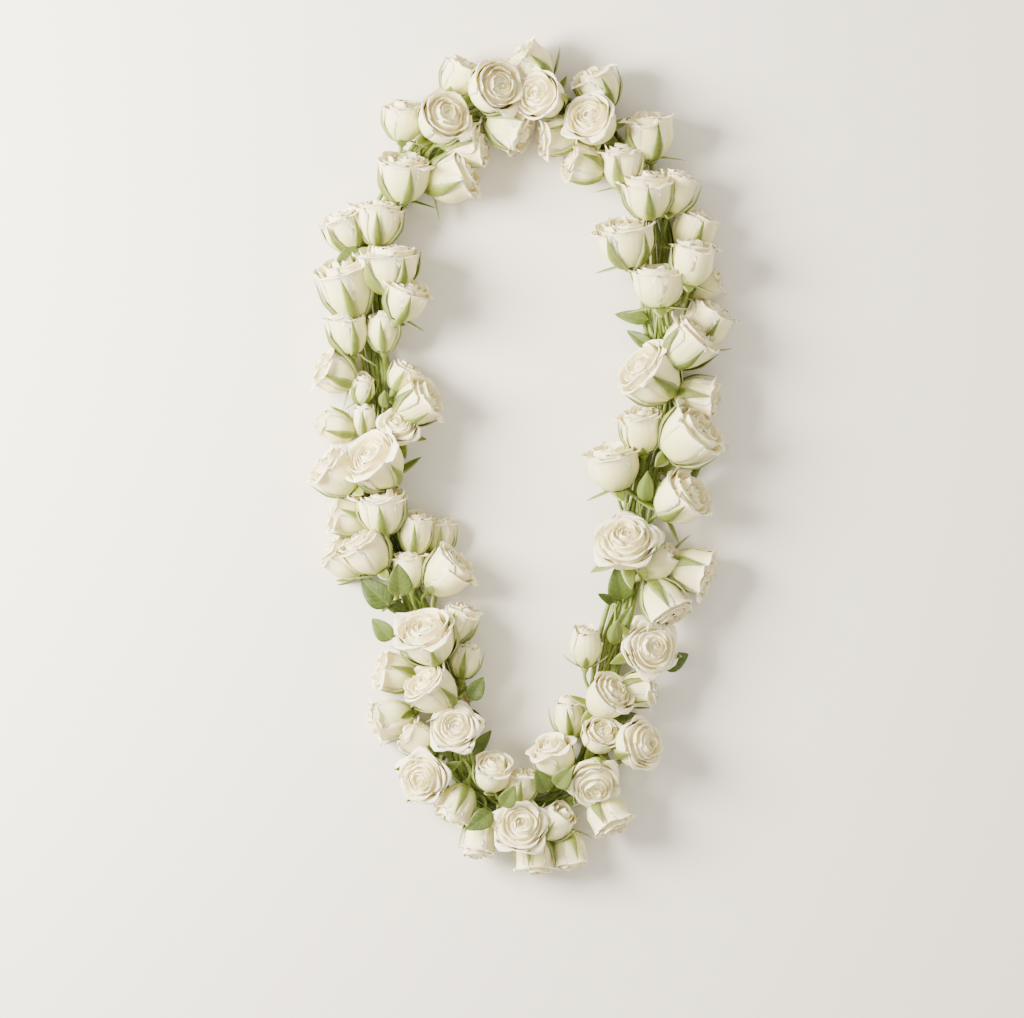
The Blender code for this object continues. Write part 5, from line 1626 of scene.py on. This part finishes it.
@dataclass
class Greens:
    """The green parts: bound stems, free stems with hips, sepals, leaves and closed buds."""

    stem_sides: int = 9
    twig_radius: float = 1.05 * MM
    twig_steps: int = 6
    bound_radius: float = 1.62 * MM
    bound_points: int = 56
    bound_swell: float = 0.06
    wander: float = 0.5 * MM
    wander_up: float = 0.3 * MM
    wander_pace: tuple = (60.0, 95.0)
    crossing_stems: int = 8
    crossing_radius: float = 0.85 * MM
    crossing_points: int = 20
    crossing_reach: tuple = (0.30, 0.42)
    crossing_side_mm: tuple = (3.5, 6.5)
    crossing_height: float = 1.35 * MM
    crossing_arch: float = 0.35 * MM
    leaf_variants: int = 4
    # Stalks: radius, how far they run into the blade as a share of its length, and tint
    stalk: tuple = (0.8 * MM, 0.08, 0.7)
    sprig_stalk: tuple = (0.6 * MM, 0.06, 0.6)
    stalk_rise: float = 1.0 * MM
    sprig_count: int = 44
    sprig_width: float = 0.62
    sprig_spacing: float = 14.0 * MM
    sprig_tries: int = 3000
    sprig_side_mm: tuple = (2.0, 7.5)
    sprig_height_mm: tuple = (8.5, 16.0)
    sprig_length_mm: tuple = (13.0, 21.0)
    # A hip's radii at shares of its length, and the share from which they grow with the head
    hip_shape: tuple = ((0.0, 1.2 * MM), (0.18, 1.7 * MM), (0.38, 2.9 * MM), (0.60, 3.5 * MM),
                        (0.82, 3.3 * MM), (1.0, 3.0 * MM), (1.16, 1.6 * MM))
    hip_grows: float = 0.3
    sepals: int = 5
    # Within this angle of a packed sepal, in radians, a sepal stands as that one does
    sepal_reach: float = 0.8
    sepal_width: float = 6.8 * MM
    sepal_thickness: float = 0.5 * MM
    sepal_variants: int = 2
    sepal_tail: float = 0.20
    sepal_grid: tuple = (12, 5)
    sepal_bend_mm: tuple = (-1.2, 1.2)
    bud_grid: tuple = (16, 30)
    bud_radius: float = 0.215
    bud_ridge: float = 0.16
    wobble: float = math.radians(2.0)

    def sepal(self, pose: tuple, rng: np.random.Generator, name: str) -> Mesh:
        """Makes one sepal, a narrow keeled blade from the calyx to its long tip.

        Args:
            pose: Radius and height of its middle and its tip, as shares of the head's.
            rng: The source of its small irregularities.
            name: The mesh's name.

        Returns:
            The closed mesh.
        """
        middle, middle_height, tip, tip_height = pose
        stand = SEPAL_STANDOFF / MODEL_RADIUS
        hugs = tip_height > 0.5
        knots = np.array(((0.16, -0.06), (0.57 * middle + 0.6 * stand, 0.10 * middle_height + 0.01),
                          (0.93 * middle + 0.7 * stand, middle_height),
                          (0.5 * (middle + tip) + stand, 0.5 * (middle_height + tip_height)),
                          (tip + stand, tip_height + (self.sepal_tail if hugs else 0.0))))
        t, u = blade_grid(*self.sepal_grid)
        place = t * (len(knots) - 1)
        r = smooth_through(knots[:, 0], place)
        h = smooth_through(knots[:, 1], place)
        width = 0.5 * self.sepal_width * np.sin(math.pi * (0.18 + 0.82 * t) ** 1.12) + 0.10 * MM
        bend = rng.uniform(*self.sepal_bend_mm) * MM
        x = r * MODEL_RADIUS - 0.42 * np.abs(u) ** 2 * width
        y = -u * width + bend * t ** 2
        return thin_shell(grid_points(x, y, h * MODEL_HEIGHT), self.sepal_thickness, name)

    def hip_line(self, head: Head) -> tuple[list[Vector], list[float]]:
        """Path and radii of a stem from its root to the calyx under the petals.

        Args:
            head: A seated head.

        Returns:
            The points and the radius at each.
        """
        root, middle, bend, neck = head.stem
        path, radii = [], []
        first = (bend - root) * 0.5
        through = (neck - root) * 0.5
        last = head.axis * ((neck - bend).length + 2.0 * MM)
        for begin, stop, leave, arrive in ((root, middle, first, through), (middle, neck, through, last)):
            for step in range(self.twig_steps):
                t = step / self.twig_steps
                path.append(begin * (2 * t ** 3 - 3 * t ** 2 + 1) + leave * (t ** 3 - 2 * t ** 2 + t)
                            + stop * (3 * t ** 2 - 2 * t ** 3) + arrive * (t ** 3 - t ** 2))
                radii.append(self.twig_radius)
        wide, _ = head.scale()
        for share, radius in self.hip_shape:
            path.append(neck + head.axis * (HIP_LENGTH * share))
            radii.append(radius * wide if share > self.hip_grows else radius)
        return path, radii

    def bound_lines(self, layout: Layout, bunch: int, lines: Lines) -> None:
        """Adds the stems that lie bound side by side, and thin ones in their grooves.

        Args:
            layout: The layout, for its route.
            bunch: The bunch's place in the loop.
            lines: The lines that take them.
        """
        rng = Draw.BOUND_STEMS.rng(bunch)
        start = bunch * layout.bunch_length + 0.5 * CLEARANCE
        stop = (bunch + 1) * layout.bunch_length - 0.5 * CLEARANCE
        stations = np.linspace(start, stop, self.bound_points)
        for k in range(STEMS_ABREAST):
            lateral = (k - 0.5 * (STEMS_ABREAST - 1)) * STEM_PITCH
            phase, pace = rng.uniform(0.0, math.tau), rng.uniform(*self.wander_pace)
            path = [layout.route.offset(s, lateral + self.wander * math.sin(pace * s + phase),
                                        BUNDLE_MIDDLE + self.wander_up * math.cos(0.8 * pace * s + phase))
                    for s in stations]
            thick = [self.bound_radius * (1.0 + self.bound_swell * math.sin(120.0 * s + phase))
                     for s in stations]
            lines.add(path, thick, rng.uniform(0.0, 1.0))
        for k in range(self.crossing_stems):
            begin = start + (stop - start) * (0.02 + 0.96 * k / self.crossing_stems)
            reach = rng.uniform(*self.crossing_reach) * (stop - start)
            side = rng.uniform(*self.crossing_side_mm) * MM * (-1.0) ** k
            twig = np.linspace(begin, min(begin + reach, stop), self.crossing_points)
            path = []
            for i, s in enumerate(twig):
                share = i / (len(twig) - 1)
                rise = self.crossing_height + self.crossing_arch * math.sin(math.pi * share)
                path.append(layout.route.offset(s, side * math.cos(math.pi * share), BUNDLE_MIDDLE + rise))
            lines.add(path, [self.crossing_radius] * len(path), rng.uniform(0.2, 1.0))

    def green_bud(self, rng: np.random.Generator, name: str) -> Mesh:
        """Makes a closed bud wrapped in its sepals, one unit long.

        Args:
            rng: The source of its turn.
            name: The mesh's name.

        Returns:
            The closed mesh, with its tip at +X.
        """
        t, a = ring_grid(*self.bud_grid)
        a = a + rng.uniform(0.0, 1.0)
        body = self.bud_radius * np.sin(math.pi * np.clip(0.13 + 0.87 * t, 0.0, 1.0) ** 0.66) ** 1.1 + 0.006
        ridge = (np.abs(np.cos(0.5 * self.sepals * (a + 0.5 * t))) - 0.5) * np.sin(math.pi * t) ** 0.6
        radius = body * (1.0 + self.bud_ridge * ridge)
        return round_body(grid_points(t, radius * np.cos(a), radius * np.sin(a)), name)

    def perched(self, layout: Layout, bud: int) -> list[Sprig]:
        """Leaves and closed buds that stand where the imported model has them.

        Args:
            layout: The seated heads and leaves.
            bud: The closed bud's prototype number.

        Returns:
            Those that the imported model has.
        """
        found = []
        for place, row in enumerate(LEAVES + GREEN_BUDS):
            perch = layout.perch(row)
            if perch:
                length = row[4] * PIXEL
                pick = place % self.leaf_variants if place < len(LEAVES) else bud
                found.append(Sprig(*perch, (length,) * 3, pick, place * 0.37 % 1.0, self.stalk))
        return found

    def fillers(self, layout: Layout) -> list[Sprig]:
        """Small leaves that fill the gaps between the heads, set by a seeded rule.

        Args:
            layout: The seated heads.

        Returns:
            Those that found room.
        """
        rng = Draw.SPRIGS.rng()
        found = []
        for _ in range(self.sprig_tries):
            s, side = rng.uniform(0.0, layout.route.length), rng.choice((-1.0, 1.0))
            lateral = side * rng.uniform(*self.sprig_side_mm) * MM
            height = rng.uniform(*self.sprig_height_mm) * MM
            length = rng.uniform(*self.sprig_length_mm) * MM
            _, tangent = layout.route.at(s)
            heading = math.atan2(tangent.y, tangent.x) + side * rng.uniform(0.25, 2.6)
            rise = rng.uniform(0.0, 0.9)
            base = layout.route.offset(s, lateral, height)
            turn = Matrix.Rotation(heading, 4, "Z") @ Matrix.Rotation(-rise, 4, "Y")
            placed = Matrix.Translation(base) @ turn
            trail = [placed @ Vector((length * share, 0.0, 0.0)) for share in (0.0, 0.3, 0.55, 0.8, 1.0)]
            apart = all((base - other.placed.translation).length > self.sprig_spacing for other in found)
            if (apart and layout.clears_heads(trail[:1], 0.5 * MM)
                    and layout.clears_heads(trail[1:], 2.0 * MM)):
                bunch, place, landing = layout.root_place(s, lateral)
                root = layout.route.offset(place, landing, BUNDLE_MIDDLE)
                found.append(Sprig(placed, root, bunch, (length, self.sprig_width * length, length),
                                   len(found) % self.leaf_variants, len(found) * 0.61 % 1.0,
                                   self.sprig_stalk))
            if len(found) == self.sprig_count:
                break
        LOG.info("%d small leaves in the gaps", len(found))
        return found

    def sepal_prototypes(self, layout: Layout) -> tuple[Prototypes, dict]:
        """Makes the sepals of every pose.

        Args:
            layout: The layout, for its poses.

        Returns:
            The sepals, and their numbers by pose and variant.
        """
        sepals, poses = Prototypes("sepal"), {}
        for pose, shape in enumerate(layout.SEPAL_POSES):
            for variant in range(self.sepal_variants):
                mesh = self.sepal(shape, Draw.SEPAL.rng(sepals.count), f"sepal_{pose}_{variant}")
                poses[pose, variant] = sepals.add(mesh)
        return sepals, poses

    def blade_prototypes(self) -> tuple[Prototypes, int]:
        """Makes the leaves and, after them, the closed bud.

        Returns:
            The blades and the bud's number.
        """
        blades = Prototypes("leaf")
        for variant in range(self.leaf_variants):
            blades.add(LeafBlade().mesh(Draw.LEAF.rng(variant), f"leaf_{variant}"))
        return blades, blades.add(self.green_bud(Draw.GREEN_BUD.rng(), "green_bud"))

    def build(self, layout: Layout, planter: PlantingTool, tube: TubeTool, finishes: dict) -> None:
        """Makes the green pieces of each bunch.

        Args:
            layout: The seated heads and leaves.
            planter: The tool that plants sepals, leaves and buds.
            tube: The tool that makes stems.
            finishes: Materials by name.
        """
        sepals, poses = self.sepal_prototypes(layout)
        blades, bud = self.blade_prototypes()
        sprigs = self.perched(layout, bud) + self.fillers(layout)
        for bunch in range(BUNCHES):
            lines, hips, leaves = Lines(), Planting(), Planting()
            self.bound_lines(layout, bunch, lines)
            for head in layout.heads:
                if head.bunch == bunch:
                    rng = Draw.GREENS.rng(head.index)
                    lines.add(*self.hip_line(head), rng.uniform())
                    self.plant_sepals(head, hips, poses, rng)
            for sprig in sprigs:
                if sprig.bunch == bunch:
                    self.plant_sprig(sprig, leaves, lines)
            tubes = tube.run(lines.mesh(), f"bunch_stems_{bunch + 1:02d}", Sides=self.stem_sides,
                             Lobes=1.0, Lobe_Depth=0.0, Material=finishes["stem"])
            place_piece(tubes, "greens", f"stem_bunch_{bunch + 1:02d}")
            for planting, prototypes, word, finish in ((hips, sepals, "sepals", "sepal"),
                                                       (leaves, blades, "leaves", "leaf")):
                if planting.rows:
                    mesh = planter.run(planting.mesh(), f"bunch_{word}_{bunch + 1:02d}", Seed=SEED,
                                       Prototypes=prototypes.collection, Wobble=self.wobble,
                                       Material=finishes[finish])
                    place_piece(mesh, "greens")
        sepals.remove()
        blades.remove()

    def plant_sprig(self, sprig: Sprig, leaves: Planting, lines: Lines) -> None:
        """Adds a leaf or closed bud and its stalk, which comes up out of the bundle.

        Args:
            sprig: The leaf or bud.
            leaves: The points that take it.
            lines: The lines that take its stalk.
        """
        leaves.add(sprig.placed.translation, sprig.placed.to_3x3(), sprig.size, sprig.pick, 1.0, sprig.tint)
        radius, inset, tint = sprig.stalk
        stop = sprig.placed @ Vector((inset * sprig.size[0], 0.0, 0.0))
        middle = 0.5 * (sprig.root + stop) + up(self.stalk_rise)
        lines.add([sprig.root, middle, stop], [radius] * 3, tint)

    def plant_sepals(self, head: Head, hips: Planting, poses: dict, rng: np.random.Generator) -> None:
        """Adds a head's five sepals; those near a packed one stand as it does.

        Args:
            head: A seated head.
            hips: The points that take the sepals.
            poses: Prototype numbers by pose and variant.
            rng: The source of their variants and tints.
        """
        turn = head.turn()
        wide, tall = head.scale()
        angles = {column: math.tau * (column + 1.0) / STEM_COLUMNS for column in head.sepals or (0,)}
        start = angles[min(angles)]
        for k in range(self.sepals):
            angle = start + math.tau * k / self.sepals
            gaps = {column: abs((angles[column] - angle + math.pi) % math.tau - math.pi)
                    for column in head.sepals}
            near = min(gaps, key=gaps.get) if gaps else None
            pose = head.sepals[near] if near is not None and gaps[near] < self.sepal_reach else 0
            variant = int(rng.integers(self.sepal_variants))
            hips.add(head.base, turn @ Matrix.Rotation(angle, 3, "Z"), (wide, wide, tall),
                     poses[pose, variant], 1.0, rng.uniform())


@dataclass
class Binding:
    """The backing cord and the twine that ties the bunches to it."""

    strand_radius: float = 0.36 * MM
    wraps: int = 6
    wrap_points: int = 72
    cord_radius: float = 1.28 * MM
    cord_points: int = 1400
    cord_lay: float = 7.0 * MM
    twine_lay: float = 2.6 * MM
    tie_length: float = 5.0 * MM
    # The tie's flat bottom, its bulge at the sides, its shoulders and how low its sides turn
    tie_flat: float = 2.3 * MM
    tie_bulge: float = 1.3 * MM
    tie_shoulder: float = 1.2 * MM
    tie_waist: float = BUNDLE_MIDDLE - 0.6 * MM
    # Each section: its sides, its strands and the depth of the grooves between them
    cord_section: tuple = (12, 3.0, 0.13)
    twine_section: tuple = (8, 2.0, 0.10)

    def tie_outline(self, share: float) -> tuple[float, float]:
        """Follows the middle of the tie's wall once round.

        Args:
            share: How far round, from 0 to 1.

        Returns:
            The lateral place and the height.
        """
        wall = 0.5 * TIE_WALL
        side = BUNDLE_HALF_WIDTH + self.tie_bulge + wall
        shoulder = BUNDLE_HALF_WIDTH - self.tie_shoulder
        corners = [(-self.tie_flat, wall), (self.tie_flat, wall), (side, self.tie_waist),
                   (shoulder, TIE_TOP - wall), (-shoulder, TIE_TOP - wall), (-side, self.tie_waist)]
        lengths = [math.dist(a, b) for a, b in zip(corners, corners[1:] + corners[:1])]
        rest = share % 1.0 * sum(lengths)
        for (here, after), length in zip(zip(corners, corners[1:] + corners[:1]), lengths):
            if rest <= length:
                t = rest / length
                return here[0] + (after[0] - here[0]) * t, here[1] + (after[1] - here[1]) * t
            rest -= length
        return corners[0]

    def braid(self, layout: Layout) -> Lines:
        """Lays the cord along the middle of the loop.

        Args:
            layout: The layout, for its route.

        Returns:
            Its line.
        """
        lines = Lines()
        step = layout.route.length / self.cord_points
        path = [layout.route.offset(s, 0.0, CORD_BOTTOM + 0.5 * CORD_HEIGHT)
                for s in np.linspace(0.0, layout.route.length, self.cord_points)]
        lines.add(path, [self.cord_radius] * len(path), 0.5, math.tau * step / self.cord_lay)
        return lines

    def wrap(self, layout: Layout, middle: float) -> Lines:
        """Winds the twine round the bundle.

        Args:
            layout: The layout, for its route.
            middle: The tie's place along the loop.

        Returns:
            Its line.
        """
        lines = Lines()
        count = self.wraps * self.wrap_points
        reach = self.tie_length - 2.0 * self.strand_radius
        path = []
        for i in range(count + 1):
            share = i / count
            outline = self.tie_outline(share * self.wraps)
            path.append(layout.route.offset(middle + (share - 0.5) * reach, *outline))
        length = sum((b - a).length for a, b in zip(path, path[1:])) / count
        lines.add(path, [self.strand_radius] * len(path), 0.5, math.tau * length / self.twine_lay)
        return lines

    def build(self, layout: Layout, tube: TubeTool, finishes: dict) -> None:
        """Makes the braided cord and the six twine ties.

        Args:
            layout: The layout, for its route.
            tube: The tool that sweeps the strands.
            finishes: Materials by name.
        """
        sides, lobes, depth = self.cord_section
        mesh = tube.run(self.braid(layout).mesh(), "braided_cord", Sides=sides, Lobes=lobes, Lobe_Depth=depth,
                        Material=finishes["cord"])
        place_piece(mesh, "cord", "backing_cord")
        sides, lobes, depth = self.twine_section
        for k in range(BUNCHES):
            lines = self.wrap(layout, k * layout.bunch_length)
            mesh = tube.run(lines.mesh(), f"twine_wrap_{k + 1:02d}", Sides=sides, Lobes=lobes,
                            Lobe_Depth=depth, Material=finishes["twine"])
            place_piece(mesh, "twine", f"twine_tie_{k + 1:02d}")


def ease_onto_floor(mesh: Mesh) -> None:
    """Bends what comes near the floor along it, so that nothing passes through.

    Args:
        mesh: A mesh of petals, sepals or leaves, in its place.
    """
    flat = np.empty(3 * len(mesh.vertices))
    mesh.vertices.foreach_get("co", flat)
    low = flat[2::3] < FLOOR_EASE
    flat[2::3][low] = FLOOR_EASE * np.exp(flat[2::3][low] / FLOOR_EASE - 1.0)
    mesh.vertices.foreach_set("co", flat)
    mesh.update()


def place_piece(mesh: Mesh, slot: str, node: str = "") -> None:
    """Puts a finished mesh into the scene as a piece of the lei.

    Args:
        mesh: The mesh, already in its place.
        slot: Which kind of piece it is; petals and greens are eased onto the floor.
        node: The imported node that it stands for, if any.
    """
    if slot in ("petals", "greens"):
        ease_onto_floor(mesh)
    piece = add_object(mesh.name, mesh)
    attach(piece, "root")
    if node:
        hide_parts(node)
    LOG.info("%s: %d faces", piece.name, len(mesh.polygons))


@dataclass
class Studio:
    """Pale floor, soft light from the upper left and a camera that looks straight down."""

    camera_height: float = 3.0
    focus_height: float = 0.025
    floor_size: float = 8.0
    floor_colour: str = "#ECE7DB"
    floor_roughness: float = 0.85
    sensor_width: float = 36.0
    clip_end: float = 20.0
    # Each light: its name, place, side in metres, power in watts and colour
    lights: tuple = (("key_light", (-0.94, 0.22, 0.68), 0.6, 86.0, "#FFF8EE"),
                     ("fill_light", (1.3, -0.6, 1.3), 1.2, 5.0, "#FFF7EC"))
    sky_strength: float = 1.27
    sky_colour: str = "#F6F1E9"

    def build(self) -> None:
        """Makes the floor, the lights, the world and the camera."""
        self.make_floor()
        for light in self.lights:
            self.add_light(*light)
        world = bpy.data.worlds.new("studio_world")
        world.use_nodes = True
        background = world.node_tree.nodes["Background"]
        background.inputs["Color"].default_value = linear(self.sky_colour)
        background.inputs["Strength"].default_value = self.sky_strength
        bpy.context.scene.world = world
        self.make_camera()

    def make_floor(self) -> None:
        """Makes the floor, matt painted board."""
        half = 0.5 * self.floor_size
        corners = [(-half, -half, 0.0), (half, -half, 0.0), (half, half, 0.0), (-half, half, 0.0)]
        mesh = mesh_with("floor", corners, faces=[(0, 1, 2, 3)])
        floor = add_object("floor", mesh)
        material, tree = new_material("painted_board")
        shader = tree.nodes["Principled BSDF"]
        shader.inputs["Base Color"].default_value = linear(self.floor_colour)
        shader.inputs["Roughness"].default_value = self.floor_roughness
        mesh.materials.append(material)

    def add_light(self, name: str, place: tuple, size: float, power: float, colour: str) -> None:
        """Adds a square area light that faces the middle of the loop.

        Args:
            name: The light's name.
            place: Where it stands.
            size: The length of its side.
            power: Its power in watts.
            colour: Its sRGB hex colour.
        """
        light = bpy.data.lights.new(name, "AREA")
        light.size = size
        light.energy = power
        light.color = linear(colour)[:3]
        lamp = add_object(name, light)
        lamp.location = place
        lamp.rotation_euler = (-Vector(place)).to_track_quat("-Z", "Y").to_euler()

    def make_camera(self) -> None:
        """Makes the camera over the middle of the photograph's frame."""
        centre = plane_point(0.5 * PHOTO_SIZE[0], 0.5 * PHOTO_SIZE[1])
        camera = bpy.data.cameras.new("camera")
        camera.sensor_width = self.sensor_width
        camera.lens = self.sensor_width * (self.camera_height - self.focus_height) / (PHOTO_SIZE[0] * PIXEL)
        camera.clip_end = self.clip_end
        lens = add_object("camera", camera)
        lens.location = (centre.x, centre.y, self.camera_height)
        bpy.context.scene.camera = lens


def main() -> None:
    """Builds the lei's looks and the studio round it."""
    logging.basicConfig(level=logging.INFO, format="%(name)s: %(message)s")
    finishes = {
        "petal": PetalFinish().build(),
        "stem": GreenFinish("rose_stem", "#566824", "#929F4B").build(),
        "sepal": GreenFinish("rose_sepal", "#4C5A16", "#7E8A34", roughness=0.55, margin=0.4).build(),
        "leaf": GreenFinish("rose_leaf", "#354514", "#64742E", roughness=0.5, veins=True).build(),
        "twine": FibreFinish("jute_twine", "#8A744B", "#C3AD7F").build(),
        "cord": FibreFinish("braided_jute", "#9C8A63", "#CDBD93").build(),
    }
    layout = Layout()
    LOG.info("%d heads seated", sum(head.base is not None for head in layout.heads))
    planter = PlantingTool()
    tube = TubeTool()
    Blooms().build(layout, planter, finishes["petal"])
    Greens().build(layout, planter, tube, finishes)
    Binding().build(layout, tube, finishes)
    Studio().build()


if __name__ == "__main__":
    main()
